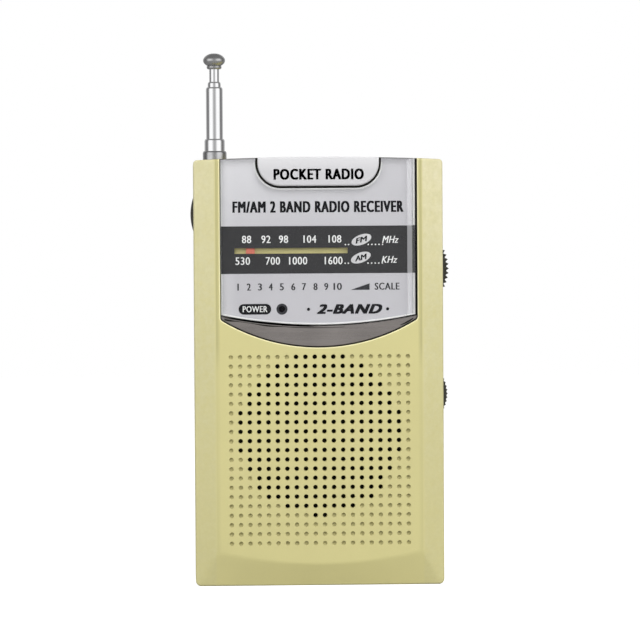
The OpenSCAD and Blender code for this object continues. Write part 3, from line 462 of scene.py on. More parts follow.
def joined(*solids):
    verts, faces = [], []
    for v, f in solids:
        base = len(verts)
        verts += v
        faces += [tuple(i + base for i in face) for face in f]
    return verts, faces


def mesh_object(name, solid, key=None):
    """An object from a solid in millimetres."""
    verts, faces = solid
    me = bpy.data.meshes.new(name)
    me.from_pydata([(x * MM, y * MM, z * MM) for x, y, z in verts], [], faces)
    bm = bmesh.new()
    bm.from_mesh(me)
    bmesh.ops.recalc_face_normals(bm, faces=bm.faces)
    bm.to_mesh(me)
    bm.free()
    if key:
        me.materials.append(M[key])
    return linked(name, me)


def split_faces(me):
    """Splits every face of more than four corners, so that a cut through it leaves simple faces."""
    bm = bmesh.new()
    bm.from_mesh(me)
    bmesh.ops.triangulate(bm, faces=[f for f in bm.faces if len(f.verts) > 4])
    bm.to_mesh(me)
    bm.free()


def combine(ob, kind, solid):
    """Boolean of ob with a solid or another object, which is used up: DIFFERENCE, UNION or INTERSECT."""
    tool = mesh_object("tool", solid) if isinstance(solid, tuple) else solid
    split_faces(ob.data)
    split_faces(tool.data)
    mod = ob.modifiers.new("cut", "BOOLEAN")
    mod.operation = kind
    mod.solver = "MANIFOLD"
    mod.object = tool
    dg = bpy.context.evaluated_depsgraph_get()
    done = bpy.data.meshes.new_from_object(ob.evaluated_get(dg))
    ob.modifiers.clear()
    old = ob.data
    ob.data = done
    bpy.data.meshes.remove(old)
    spare = tool.data
    bpy.data.objects.remove(tool)
    bpy.data.meshes.remove(spare)


def cut(ob, solid):
    combine(ob, "DIFFERENCE", solid)


def fuse(ob, solid):
    combine(ob, "UNION", solid)


WALL_LIMIT = math.radians(1)


def is_flat(f):
    """True for a face square to one of the three axes."""
    return max(abs(c) for c in f.normal) > 0.999999


def place(ob, body, nodes=(), sharp=32, flat_walls=False):
    """Cleans a finished piece, shades it by its true edges and hands it to the frame."""
    me = ob.data
    bm = bmesh.new()
    bm.from_mesh(me)
    bmesh.ops.remove_doubles(bm, verts=bm.verts, dist=2e-7)
    bmesh.ops.dissolve_degenerate(bm, edges=bm.edges, dist=1e-7)
    for f in bm.faces:
        f.smooth = True
    for e in bm.edges:
        wall = flat_walls and any(is_flat(f) for f in e.link_faces)
        limit = WALL_LIMIT if wall else math.radians(sharp)
        e.smooth = not (len(e.link_faces) == 2 and e.calc_face_angle(0) > limit)
    bm.to_mesh(me)
    bm.free()
    w = ob.modifiers.new("normals", "WEIGHTED_NORMAL")
    w.keep_sharp = True
    w.weight = 80
    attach(ob, body)
    if nodes:
        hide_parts(*nodes)


def paint(ob, keys, zone):
    """Gives a piece several materials; zone(face) is the number of a face's own."""
    ob.data.materials.clear()
    for key in keys:
        ob.data.materials.append(M[key])
    for p in ob.data.polygons:
        p.material_index = zone(p)


# ---------- cabinet outline ----------
def cabinet_outline(r_low=1.5, r_high=1.05):
    """Front view of the cabinet, anticlockwise from the lower left corner."""
    inner = HALF_W - r_high
    side = crown(HALF_W) - r_high
    low = arc(-HALF_W + r_low, r_low, r_low, 180, 270, 6) + arc(HALF_W - r_low, r_low, r_low, 270, 360, 6)
    top = crown_line(inner, -inner, 0.0, 28)[1:-1]
    return low + arc(inner, side, r_high, 0, 88, 5) + top + arc(-inner, side, r_high, 92, 180, 5)


# ---------- front cabinet ----------
def smooth_max(a, b, k):
    """The larger of two values, blended where they are within k of each other."""
    return max(a, b) + max(k - abs(a - b), 0.0) ** 2 / (4 * k)


def face_drop(x, z):
    """How far the front surface lies behind the grille face."""
    rail = (abs(x) - FACE_W) * RAIL_SLOPE
    line = chin_line(x)
    chin = CHIN_DROP * (line - z) / (line - CHIN_FOOT)
    return smooth_max(smooth_max(rail, chin, 0.22), 0.0, 0.20)


EDGE = 0.6


def front_shell():
    """Outer skin of the front cabinet as a grid, with a rounded rim, side walls and a flat back."""
    lim = HALF_W - EDGE
    half = [*range(0, 25, 2), 25.5, 26.7, 27.5, 28.0, 28.3, 28.6, 28.9, 29.2, 29.6, 30.2, 30.8, 31.4, 32.0,
            32.6, 33.1, lim - 0.9, lim - 0.7, lim - 0.45, lim - 0.2, lim]
    xs = [-x for x in half[:0:-1]] + half
    near = [-2.2, -1.6, -1.1, -0.7, -0.4, -0.15, 0.15, 0.4, 0.7, 1.1, 1.6]
    columns = []
    for x in xs:
        line = chin_line(min(abs(x), 33.5))
        low = [EDGE, EDGE + 0.3, EDGE + 0.6, EDGE + 0.9]
        start, end = low[-1], line + near[0]
        low += [start + (end - start) * i / 5 for i in range(1, 5)]
        low += [line + d for d in near]
        base = low[-1]
        low += [base + (14.5 - base) * t for t in (0.5, 1.0)]
        low += [14.5 + (112.0 - 14.5) * i / 12 for i in range(1, 13)]
        top = crown(x) - EDGE
        low += [112.0 + (top - 0.7 - 112.0) * i / 3 for i in range(1, 4)] + [top - 0.45, top - 0.2, top]
        columns.append(low)
    ni, nj = len(xs), len(columns[0])

    def flat(i, j):
        """Front position of a grid point, drawn onto the round corners."""
        x, z = xs[i], columns[i][j]
        for r, cz, way in ((0.9, EDGE + 0.9, -1), (0.45, crown(x) - EDGE - 0.45, 1)):
            a, b = (abs(x) - lim + r) / r, way * (z - cz) / r
            if a > 0 and b > 0:
                x = math.copysign(lim - r + r * a * math.sqrt(1 - b * b / 2), x)
                return x, cz + way * r * b * math.sqrt(1 - a * a / 2)
        return x, z

    verts, index = [], {}
    for i in range(ni):
        for j in range(nj):
            x, z = flat(i, j)
            index[i, j] = len(verts)
            verts.append((x, FRONT + face_drop(x, z), z))
    faces = [(index[i, j], index[i + 1, j], index[i + 1, j + 1], index[i, j + 1])
             for i in range(ni - 1) for j in range(nj - 1)]
    border = ([(i, 0) for i in range(ni)] + [(ni - 1, j) for j in range(1, nj)]
              + [(i, nj - 1) for i in range(ni - 2, -1, -1)] + [(0, j) for j in range(nj - 2, 0, -1)])
    rim = [index[b] for b in border]
    count = len(rim)
    normals = []
    for k in range(count):
        p, q = Vector(verts[rim[k - 1]]), Vector(verts[rim[(k + 1) % count]])
        t = Vector((q.x - p.x, q.z - p.z)).normalized()
        normals.append((t.y, -t.x))
    for b, corner in ((border.index((0, 0)), (-1, -1)), (border.index((ni - 1, 0)), (1, -1)),
                      (border.index((ni - 1, nj - 1)), (1, 1)), (border.index((0, nj - 1)), (-1, 1))):
        normals[b] = (corner[0] * math.sqrt(0.5), corner[1] * math.sqrt(0.5))
    rings = [rim]
    inner = [verts[v] for v in rim]

    def ring(reach, depth):
        ids = []
        for k in range(count):
            x, y, z = inner[k]
            ids.append(len(verts))
            verts.append((x + normals[k][0] * reach, depth(y), z + normals[k][1] * reach))
        rings.append(ids)

    for a in (18, 36, 54, 72, 90):
        t = math.radians(a)
        ring(EDGE * math.sin(t), lambda y, t=t: y + EDGE * (1 - math.cos(t)))
    ring(EDGE, lambda y: PART - 0.22)
    ring(EDGE - 0.16, lambda y: PART)
    for a, b in zip(rings, rings[1:]):
        faces += [(a[k], a[(k + 1) % count], b[(k + 1) % count], b[k]) for k in range(count)]
    faces.append(tuple(rings[-1]))
    return verts, faces


def bowl(half, r, corner):
    """The recess's lower arc from left to right, with its two ends rounded into the sides."""
    middle = RECESS_Z + RECESS_R
    x = half - corner
    z = middle - math.sqrt((r - corner) ** 2 - x ** 2)
    edge = math.degrees(math.atan2(x, middle - z))
    return (arc(-x, z, corner, 180, 270 - edge, 5) + arc(0, middle, r, 270 - edge, 270 + edge, 48)[1:-1]
            + arc(x, z, corner, 270 + edge, 360, 5))


def recess_outline():
    return bowl(RECESS_HALF, RECESS_R, 1.2) + [(RECESS_HALF, ABOVE), (-RECESS_HALF, ABOVE)]


OPEN_RADIUS = 8.86
OPEN_HOLE = [(0.76, -15.0), (0.76, -14.0), (0.69, -13.97), (0.65, -13.9), (0.635, -13.8), (0.6, -11.2)]
DIMPLE = [(0.72, -15.0), (0.72, -14.0), (0.62, -13.97), (0.57, -13.86), (0.54, -13.62), (0.47, -13.49),
          (0.32, -13.43), (0.1, -13.41)]


def grille_tools():
    """Cutters of the grille: holes inside the speaker's circle, dimples outside it."""
    solids = []
    middle = (GRILLE_COLUMNS - 1) / 2
    for row in range(GRILLE_ROWS):
        for col in range(GRILLE_COLUMNS):
            x, z = (col - middle) * PITCH, GRILLE_TOP - row * PITCH
            inside = math.hypot(col - middle, row - SPEAKER_ROW) < OPEN_RADIUS
            profile = OPEN_HOLE if inside else DIMPLE
            ends = [(0.0, profile[0][1])], [(0.0, profile[-1][1])]
            solids.append(lathe(ends[0] + profile + ends[1], (x, 0, z), "y", 14))
    return joined(*solids)


TUNE = (24.3, 88.3, 12.5)
VOLUME = (26.8, 53.1, 9.6)
AERIAL = (-28.7, PART, 0)


def wheel_slot(x, z, r, low, high):
    """Slot in the side wall for an edge wheel, its rim slightly opened."""
    half = math.sqrt(r * r - (INNER_W - x) ** 2) + 0.5
    outline = rounded(low, z - half, high, z + half, 0.4)
    return sweep(outline, [(INNER_W - 2, 0.0), (HALF_W - 0.3, 0.0), (HALF_W - 0.14, 0.05), (HALF_W, 0.18),
                           (HALF_W + 2, 0.18)], "x")


def cut_shared(ob):
    """Cuts what runs across the parting line: the two wheel slots and the aerial's hole."""
    cut(ob, wheel_slot(*TUNE, -6.8, -1.8))
    cut(ob, wheel_slot(*VOLUME, -6.3, -2.1))
    hole = [(0, 115.0), (3.5, 115.0), (3.5, 118.75), (3.55, 118.95), (3.75, 119.2), (3.75, 124.0), (0, 124.0)]
    cut(ob, lathe(hole, AERIAL, "z", 40))


def front_zone(p):
    """Painted shade on the recess wall 1, painted shade in the holes 2, painted highlight on the lip of the
    recess 3, and cream 0.
    """
    x, y, z = p.center / MM
    arc_low = RECESS_Z + RECESS_R - math.sqrt(max(0.0, (RECESS_R + 0.2) ** 2 - x * x))
    if -13.7 < y < RECESS_Y + 0.05 and abs(x) < RECESS_HALF + 0.1 and z > arc_low:
        return 1
    if -13.998 < y < -13.75 and abs(x) < RECESS_HALF + 0.4 and z > arc_low - 0.5:
        return 3
    if -13.95 < y < -13.3 and abs(x) < 25.5 and 10 < z < 66:
        return 2
    return 0


front = mesh_object("front_cabinet_shell", front_shell())
cut(front, sweep(rounded(*INTERIOR), [(-10.3, -1.6), (-9.2, 0.0), (0.0, 0.0)]))
pocket_r = RECESS_R + 1.5
pocket_arc = math.degrees(math.asin(27 / pocket_r))
pocket = arc(0, RECESS_Z + RECESS_R, pocket_r, 270 + pocket_arc, 270 - pocket_arc, 24)
pocket = [(-27, 9.2), (27, 9.2)] + pocket
cut(front, sweep(pocket, [(-12.0, -0.6), (-11.4, 0.0), (-9.5, 0.0)]))
for x, z in arc(0, SPEAKER_Z, 26.8, 45, 315, 3):
    fuse(front, bush(x, z, 0.9, 1.75, -12.4, -8.8))
fuse(front, bush(0, SPEAKER_Z, 23.9, 25.6, -12.4, -10.2, 96))
for x, z in CASE_SCREWS:
    fuse(front, bush(x, z, 1.0, 2.4, -10.4, PART - 0.05))
flare = [(RECESS_Y, 0.0), (-13.62, 0.0), (-13.78, 0.025), (-13.91, 0.10), (-13.985, 0.2), (-14.0, 0.34),
         (-16.0, 0.34)]
cut(front, sweep(recess_outline(), flare))
cut(front, box((-24.6, -12.6, 91.9), (8.9, -10.9, 97.4)))
cut(front, box((-22.0, -12.0, 95.3), (6.4, -9.0, 96.9)))
cut(front, bush(*LAMP, 0, 1.2, -12.5, -9.0))
cut_shared(front)
cut(front, grille_tools())
paint(front, ("cream", "gap", "dimple", "lip"), front_zone)
place(front, "case", ["front_cabinet"])

# ---------- rear cabinet and battery door ----------
CORNER = 1.0


DOOR_Y = 12.5
BAY = [(13.0, 0.8), (13.0, 33.4), (1.62, 33.4), (PART, 28.18), (PART, 0.8)]
HOLLOW = [(13.5, 2.0), (13.5, 32.2), (2.12, 32.2), (-2.6, 27.48), (-2.6, 2.0)]
SCREW_HOLE = [(0, -6), (1.1, -6), (1.1, 4), (2.3, 4), (2.3, 13.6), (2.36, 13.8), (2.55, 14.0), (2.55, 16),
              (0, 16)]
BOARD_SCREWS = ((29, 102), (-28.6, 92), (-28.6, 66), (18, 40))
KNOB_Y, KNOB_Z = 5.3, 103.9


def rear_solid():
    stations = [(PART, -0.16), (PART + 0.22, 0.0)] + soft_edge(BACK, CORNER, -1, 6)[::-1]
    return sweep(cabinet_outline(), stations)


rear = mesh_object("rear_cabinet_shell", rear_solid(), "cream")
cut(rear, sweep(rounded(*INTERIOR), [(-6.0, 0.0), (11.4, 0.0), (12.0, -0.6)]))
fuse(rear, sweep(BAY, [(-29.2, 0.0), (29.2, 0.0)], "x"))
cut(rear, sweep(HOLLOW, [(-28.0, 0.0), (28.0, 0.0)], "x"))
for x, z in CASE_SCREWS:
    fuse(rear, bush(x, z, 0, 3, PART, 12.6, 28))
    cut(rear, lathe(SCREW_HOLE, (x, 0, z), "y", 32))
for x, z in BOARD_SCREWS:
    fuse(rear, bush(x, z, 0.9, 2.4, 9.0, 12.6))
cut(rear, box((-28.6, DOOR_Y - 0.1, -1), (28.6, 16, 34.1)))
cut(rear, box((-29.9, DOOR_Y - 0.1, -1), (29.9, 13.3, 31)))
label = rounded(-20, 62, 20, 92, 2)
cut(rear, sweep(label, [(13.7, 0.0), (13.9, 0.02), (14.0, 0.12), (15, 0.12)]))
cut_shared(rear)
knob_slot = rounded(KNOB_Y - 1.95, KNOB_Z - 7.55, KNOB_Y + 1.95, KNOB_Z + 5.05, 0.4)
cut(rear, sweep(knob_slot, [(-HALF_W - 2, 0.15), (-HALF_W, 0.15), (-HALF_W + 0.15, 0.03),
                                              (-HALF_W + 0.3, 0.0), (-INNER_W + 1.5, 0.0)], "x"))
jack_hole = [(0, -37), (3.3, -37), (3.3, -HALF_W), (3.16, -HALF_W + 0.15), (3.1, -HALF_W + 0.3),
             (3.1, -32), (0, -32)]
cut(rear, lathe(jack_hole, (0, 4.4, 56.0), "x", 40))
place(rear, "case", ["rear_cabinet"], flat_walls=True)

door = mesh_object("battery_door_panel", rear_solid(), "cream")
combine(door, "INTERSECT", box((-28.5, DOOR_Y, -2), (28.5, 16, 34.0)))
for low, high in ((-29.7, -28.0), (28.0, 29.7)):
    fuse(door, box((low, DOOR_Y, 1.0), (high, DOOR_Y + 0.7, 30.8)))
for i in range(6):
    z = 18.6 + 1.8 * i
    groove = rounded(-8, z, 8, z + 0.9, 0.44)
    cut(door, sweep(groove, [(13.45, -0.2), (13.6, -0.05), (13.85, 0.0), (14.0, 0.12), (15, 0.12)]))
arrow = [(0, 11.0), (4, 15.5), (-4, 15.5)]
cut(door, sweep(arrow, [(13.6, 0.0), (14.0, 0.05), (15.0, 0.05)]))
place(door, "battery_door", ["battery_door"], flat_walls=True)

# ---------- dial ----------
NOTCH_R = 7.0
NOTCH_HALF = 10.5


def lens_outline(gap=0.0):
    """Front view of the dial plate: arc below, crowned top, notch for the badge."""
    left, right = LENS_L + gap, LENS_R - gap
    r = LENS_ARC - gap
    notch_r = NOTCH_R + gap
    edge = NOTCH_HALF + notch_r
    top = 0.1 + gap
    low = arc(0, LENS_Z + LENS_ARC, r, 270 + math.degrees(math.asin(left / r)),
              270 + math.degrees(math.asin(right / r)), 40)
    dip = (arc(NOTCH_HALF, BADGE_Z, notch_r, 0, -90, 12)
           + arc(-NOTCH_HALF, BADGE_Z, notch_r, -90, -180, 12))
    return low + crown_line(right, edge, top, 6) + dip + crown_line(-edge, left, top, 6)


SHOULDER = 2.3


def shoulder_profile():
    """Top view of the lens: flat front that rolls back at its two sides."""
    y0, depth = -13.8, 1.15
    pts = []
    for i in range(11):
        t = math.radians(9 * i)
        pts.append((LENS_L + SHOULDER * (1 - math.sin(t)), y0 + depth * (1 - math.cos(t))))
    left = pts[::-1]
    right = [(LENS_R - (x - LENS_L), y) for x, y in pts]
    return [(LENS_L, -12.0)] + left + right + [(LENS_R, -12.0)]


lens = mesh_object("dial_lens_plate", slab(lens_outline(), -13.8, PRINT_Y - 0.1, 0.5))
combine(lens, "INTERSECT", sweep(shoulder_profile()[::-1], [(60.0, 0.0), (125.0, 0.0)], "z"))
FLAT_X = 24.6


def lens_zone(p):
    """Clear front 0, painted soft highlight 3 and painted grey-green edge tint 1 on the rolled right edge,
    painted glint on the rims 2, painted shade on the top edge 4.
    """
    x, _, z = p.center / MM
    if p.normal.y > 0.9 or (p.normal.y < -0.985 and abs(x) < FLAT_X):
        return 0
    if z > crown(x) - 1.3 and p.normal.z > 0.3:
        return 4
    if p.normal.z < -0.3 or x > LENS_R - 0.6:
        return 2
    if x < LENS_L + 2.5:
        return 0
    if x > FLAT_X:
        return 3 if x < 25.9 else 1
    return 2 if p.normal.z > 0.3 else 0


paint(lens, ("lens_face", "lens_edge", "lens_glint", "lens_soft_highlight", "lens_top_shade"), lens_zone)
place(lens, "case", ["dial_lens"], sharp=40)

sheet = mesh_object("dial_scale_sheet", slab(lens_outline(0.05), PRINT_Y, RECESS_Y), "silver_print")
window_cut = sweep(rounded(-23.45, 92.8, 8.1, 94.35, 0.12, 3), [(-13, 0.0), (-11, 0.0)])
cut(sheet, window_cut)
cut(sheet, bush(*LAMP, 0, 0.9, -13, -11, 32))
place(sheet, "case", ["dial_scale"])


def badge_outline():
    r = 6.4
    side = NOTCH_HALF + r
    return (arc(-NOTCH_HALF, BADGE_Z, r, 180, 270, 12) + arc(NOTCH_HALF, BADGE_Z, r, 270, 360, 12)
            + crown_line(side, -side, 0.0, 12))


badge = mesh_object("badge_plate_shield", slab(badge_outline(), -14.1, RECESS_Y, 0.45, n=5), "badge")
place(badge, "case", ["badge_plate"])
CRESCENT_HALF = 27.35


def crescent_outline():
    up_r = LENS_ARC + 0.3
    edge = math.degrees(math.asin(CRESCENT_HALF / up_r))
    high = arc(0, LENS_Z + LENS_ARC, up_r, 270 + edge, 270 - edge, 48)
    return bowl(CRESCENT_HALF, RECESS_R - 0.21, 1.0) + high


def streak(x0, x1, middle, r, width, n=40):
    """Outline of a thin groove under the arc of radius r around (0, middle), width(x) tall, anticlockwise."""
    xs = [x0 + (x1 - x0) * i / n for i in range(n + 1)]
    upper = [(x, middle - math.sqrt(r ** 2 - x * x)) for x in xs]
    return [(x, z - width(x)) for x, z in upper] + upper[::-1]


def bump_at(x, centre, spread):
    return math.exp(-((x - centre) / spread) ** 2)


def long_width(x):
    return 0.12 + 0.42 * bump_at(x, -25.4, 2.0) + 0.28 * bump_at(x, -14.5, 2.8) + 0.08 * bump_at(x, -5, 6)


def short_width(x):
    return 0.1 + 0.4 * bump_at(x, 24.9, 1.8)


def crescent_zone(p):
    """Painted shade in the grooves 1, metal 0."""
    y = p.center.y / MM
    side = y > -13.02 or abs(p.normal.y) < 0.1
    return 1 if -13.31 < y < -12.95 and side and p.normal.y < 0.5 else 0


crescent = mesh_object("crescent_trim_inlay", slab(crescent_outline(), -13.3, RECESS_Y, 0.25))
# the grooves are painted with the near-black shade, standing in for dark reflection streaks on the trim
for outline in (streak(-26.4, 7.0, LENS_Z + LENS_ARC, LENS_ARC + 0.75, long_width),
                streak(22.6, 26.3, RECESS_Z + RECESS_R, RECESS_R - 0.9, short_width)):
    cut(crescent, sweep(outline, [(-14.0, 0.0), (-13.0, 0.0)]))
paint(crescent, ("trim", "gap"), crescent_zone)
place(crescent, "case", ["crescent_trim"])


# ---------- printing on the dial, and a painted rim highlight ---
def lettering(words, x0, x1, z0, z1, lean=0.0, spacing=1.0):
    """Flat letters filling the box x0..x1, z0..z1, as points and faces in millimetres on the plane y = 0."""
    curve = bpy.data.curves.new("letters", "FONT")
    curve.body = words
    curve.size = 1.0
    curve.shear = lean
    curve.space_character = spacing
    curve.resolution_u = 3
    ob = linked("letters", curve)
    dg = bpy.context.evaluated_depsgraph_get()
    me = bpy.data.meshes.new_from_object(ob.evaluated_get(dg))
    xs = [v.co.x for v in me.vertices]
    ys = [v.co.y for v in me.vertices]
    sx, sz = (x1 - x0) / (max(xs) - min(xs)), (z1 - z0) / (max(ys) - min(ys))
    pts = [(x0 + (v.co.x - min(xs)) * sx, z0 + (v.co.y - min(ys)) * sz) for v in me.vertices]
    polys = [tuple(p.vertices) for p in me.polygons]
    bpy.data.objects.remove(ob)
    bpy.data.curves.remove(curve)
    bpy.data.meshes.remove(me)
    return pts, polys


def layer(name, shapes, y, thick, key, shift=(0, 0)):
    """A thin raised layer made of flat shapes, each (points, faces)."""
    bm = bmesh.new()
    for pts, polys in shapes:
        vs = [bm.verts.new(((x + shift[0]) * MM, y * MM, (z + shift[1]) * MM)) for x, z in pts]
        for p in polys:
            if len(set(p)) > 2:
                bm.faces.new([vs[i] for i in p])
    bmesh.ops.remove_doubles(bm, verts=bm.verts, dist=2e-6)
    bmesh.ops.recalc_face_normals(bm, faces=bm.faces)
    for f in bm.faces:
        if f.normal.y > 0:
            f.normal_flip()
    grown = bmesh.ops.extrude_face_region(bm, geom=bm.faces[:])
    for v in [g for g in grown["geom"] if isinstance(g, bmesh.types.BMVert)]:
        v.co.y -= thick * MM
    bmesh.ops.recalc_face_normals(bm, faces=bm.faces)
    me = bpy.data.meshes.new(name)
    bm.to_mesh(me)
    bm.free()
    me.materials.append(M[key])
    return linked(name, me)


INK_DEPTH = 0.03


def printed(name, shapes, key, bold=0.0, rise=0.0, y=PRINT_Y, thick=INK_DEPTH):
    """A thin layer on the case, for print and for the painted rim highlight. Strokes grow sideways by bold
    and up and down by rise.
    """
    ob = layer(name, shapes, y, thick, key)
    shifts = [(-bold, rise), (bold, rise)] if bold else []
    if rise:
        shifts += [(-bold, -rise), (bold, -rise)]
    for shift in shifts:
        fuse(ob, layer("tool", shapes, y, thick, key, shift))
    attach(ob, "case")
    return ob


def polygon(pts):
    return pts, [tuple(range(len(pts)))]


def turned(pts, cx, cz, tilt):
    """Points turned by tilt degrees and moved to (cx, cz)."""
    t = math.radians(tilt)
    return [(cx + u * math.cos(t) - v * math.sin(t), cz + u * math.sin(t) + v * math.cos(t)) for u, v in pts]


def ellipse(cx, cz, a, b, tilt=0, n=40):
    turns = [2 * math.pi * i / n for i in range(n)]
    return polygon(turned([(a * math.cos(w), b * math.sin(w)) for w in turns], cx, cz, tilt))


def ringed(outer, inner):
    """A flat band between two outlines with the same number of points."""
    n = len(outer)
    faces = [(k, (k + 1) % n, n + (k + 1) % n, n + k) for k in range(n)]
    return outer + inner, faces


BAND_LOW, BAND_HIGH = 87.2, 100.45
ON_BAND = PRINT_Y - INK_DEPTH
band_solid = box((-27.18, ON_BAND, BAND_LOW), (26.88, PRINT_Y, BAND_HIGH))
band = mesh_object("print_scale_band", band_solid, "print_black")
cut(band, window_cut)
place(band, "case", [])

# painted rim highlight: a white line on the sheet along the plate's sides, bottom and badge notch, cut away
# over the band and at the top
border = printed("painted_rim_highlight", [ringed(lens_outline(0.06), lens_outline(0.5))], "print_white")
cut(border, box((-30, -14, BAND_LOW - 0.05), (30, -11, BAND_HIGH + 0.05)))
cut(border, box((-30, -14, 118.2), (30, -11, 122)))

title = lettering("FM/AM 2 BAND RADIO RECEIVER", -23.75, 23.6, 104.25, 107.35, spacing=1.18)
printed("print_title", [title], "ink", 0.19, 0.06)
model = lettering("2-BAND", -0.4, 17.5, 76.0, 78.5, lean=0.35, spacing=1.15)
printed("print_model", [model], "ink", 0.25, 0.12)
dots = [ellipse(x, 77.2, 0.45, 0.45, n=16) for x in (-2.9, 19.2)]
printed("print_marks", dots + [polygon(rounded(-22.4, 75.85, -13.3, 78.8, 1.46, 8))], "ink")
printed("print_lamp_ring", [ringed(ellipse(*LAMP, 1.55, 1.55)[0], ellipse(*LAMP, 0.9, 0.9)[0])], "print_dark")

GREY_Z = (82.55, 84.5)
grey = []
for k, x in enumerate((-22.5, -19.5, -16.4, -13.4, -10.3, -7.1, -4.1, -0.9, 2.1)):
    half = 0.12 if k == 0 else 0.5
    grey.append(lettering(str(k + 1), x - half, x + half, *GREY_Z))
grey.append(lettering("10", 4.2, 6.4, *GREY_Z))
grey.append(lettering("SCALE", 15.7, 22.5, *GREY_Z, spacing=1.12))
printed("print_grey_letters", grey, "print_dark", 0.08)
printed("print_wedge", [polygon([(8.9, 82.55), (14.2, 82.55), (14.2, 84.35)])], "print_dark")

WHITE_BOLD = 0.045
MEGAHERTZ = (("88", -20.05, 2.5), ("92", -14.65, 2.5), ("98", -9.75, 2.5), ("104", -2.4, 3.5),
             ("108", 4.6, 3.5))
KILOHERTZ = (("530", -21.15, 4.0), ("700", -12.75, 3.9), ("1000", -5.7, 5.0), ("1600", 4.2, 4.9))
white = []
for numbers, low, high in ((MEGAHERTZ, 95.75, 97.85), (KILOHERTZ, 89.7, 91.85)):
    for words, x, wide in numbers:
        white.append(lettering(words, x - wide / 2, x + wide / 2, low, high, spacing=1.08))
white.append(lettering("MHz", 17.8, 22.4, 95.6, 97.55, lean=0.3, spacing=1.08))
white.append(lettering("KHz", 17.6, 22.0, 90.05, 91.95, lean=0.3, spacing=1.08))
printed("print_white_letters", white, "print_white", WHITE_BOLD, y=ON_BAND)
BANDS = (("FM", 12.0, 96.55), ("AM", 11.8, 91.55))
ovals = [ellipse(cx, cz, 2.9, 1.4, 20) for words, cx, cz in BANDS]
printed("print_band_ovals", ovals, "print_pale", y=ON_BAND)
spots = []
for x in (7.5, 8.4) + tuple(13.9 + i for i in range(5)):
    spots += [ellipse(x, 95.2, 0.2, 0.2, n=12), ellipse(x - 0.1, 90.0, 0.2, 0.2, n=12)]
printed("print_white_spots", spots, "print_white", y=ON_BAND)
power = lettering("POWER", -21.2, -14.4, 76.5, 78.2, spacing=1.1)
printed("print_white_power", [power], "print_white", WHITE_BOLD, y=ON_BAND)
marks = []
for words, cx, cz in BANDS:
    pts, polys = lettering(words, -1.75, 1.75, -0.72, 0.72, lean=0.3)
    marks.append((turned(pts, cx, cz, 14), polys))
printed("print_band_letters", marks, "ink", 0.1, y=PRINT_Y - 2 * INK_DEPTH, thick=0.02)
badge_words = lettering("POCKET RADIO", -12.3, 12.5, 113.4, 116.3, spacing=1.15)
printed("print_badge_letters", [badge_words], "ink", 0.19, 0.08, y=-14.085, thick=0.015)


# ---------- controls ----------
def toothed(x, z, r, teeth, depth):
    """Outline of a wheel with rounded teeth, around (x, z)."""
    pts = []
    for i in range(teeth):
        for f, q in ((-0.10, r - 0.12), (0.0, r), (0.10, r - 0.12), (0.40, r - depth), (0.60, r - depth)):
            a = 2 * math.pi * (i + f) / teeth
            pts.append((x + q * math.cos(a), z + q * math.sin(a)))
    return pts


WHEEL_SOFT = 0.25
tuning_solid = slab(toothed(*TUNE, 60, 0.65), -6.4, -2.2, WHEEL_SOFT, WHEEL_SOFT, 3)
tuning = mesh_object("tuning_wheel_disc", tuning_solid, "black")
drum = [(1.3, -9.6), (8.3, -9.6), (8.4, -9.5), (8.4, -9.05), (7.3, -9.05), (7.3, -7.95), (8.4, -7.95),
        (8.4, -7.4), (6, -7.4), (6, -5.0), (1.3, -5.0)]
fuse(tuning, lathe(drum, (TUNE[0], 0, TUNE[1]), "y", 48))
cut(tuning, bush(TUNE[0], TUNE[1], 5, 10.6, -3.4, 0, 48))
place(tuning, "tuning", ["tuning_wheel"])

volume_solid = slab(toothed(*VOLUME, 56, 0.35), -5.9, -2.5, WHEEL_SOFT, WHEEL_SOFT, 3)
volume = mesh_object("volume_wheel_disc", volume_solid, "black")
cut(volume, bush(VOLUME[0], VOLUME[1], 3.6, 7.8, -7, -5.1, 48))
place(volume, "volume", ["volume_wheel"])


def knob_outline():
    """Side arc of the band knob seen from the front, with its flange inside the wall."""
    reach, half = 0.8, 4.8
    r = (half ** 2 + reach ** 2) / (2 * reach)
    edge = math.degrees(math.asin(half / r))
    dome = arc(-HALF_W - reach + r, KNOB_Z, r, 180 - edge, 180 + edge, 24)
    return dome + [(-32.4, KNOB_Z - half), (-32.4, KNOB_Z + half)]


knob = mesh_object("band_knob_cap", slab(knob_outline(), KNOB_Y - 1.7, KNOB_Y + 1.7, 0.35, 0.35), "black")
fuse(knob, box((-32.5, KNOB_Y - 2.8, KNOB_Z - 7.6), (-31.7, KNOB_Y + 2.0, KNOB_Z + 8.6)))
for i in range(-3, 4):
    groove_x = -HALF_W - 0.95 + 0.022 * i * i
    cut(knob, bush(groove_x, KNOB_Z + 1.1 * i, 0, 0.16, 0, 12, 10))
place(knob, "band", ["band_knob"])


# ---------- aerial ----------
def tube(name, body, node_name, ro, ri, z0, z1, key="chrome"):
    """One aerial section with a rolled mouth."""
    mouth = [(ro, z1 - 0.75), (ro - 0.02, z1 - 0.5), (ro - 0.09, z1 - 0.28), (ro - 0.2, z1 - 0.1),
             (ro - 0.34, z1), (ri + 0.04, z1), (ri, z1 - 0.05)]
    ob = mesh_object(name, lathe([(ri, z0), (ro, z0)] + mouth, AERIAL, "z", 64), key)
    place(ob, body, [node_name], sharp=50)


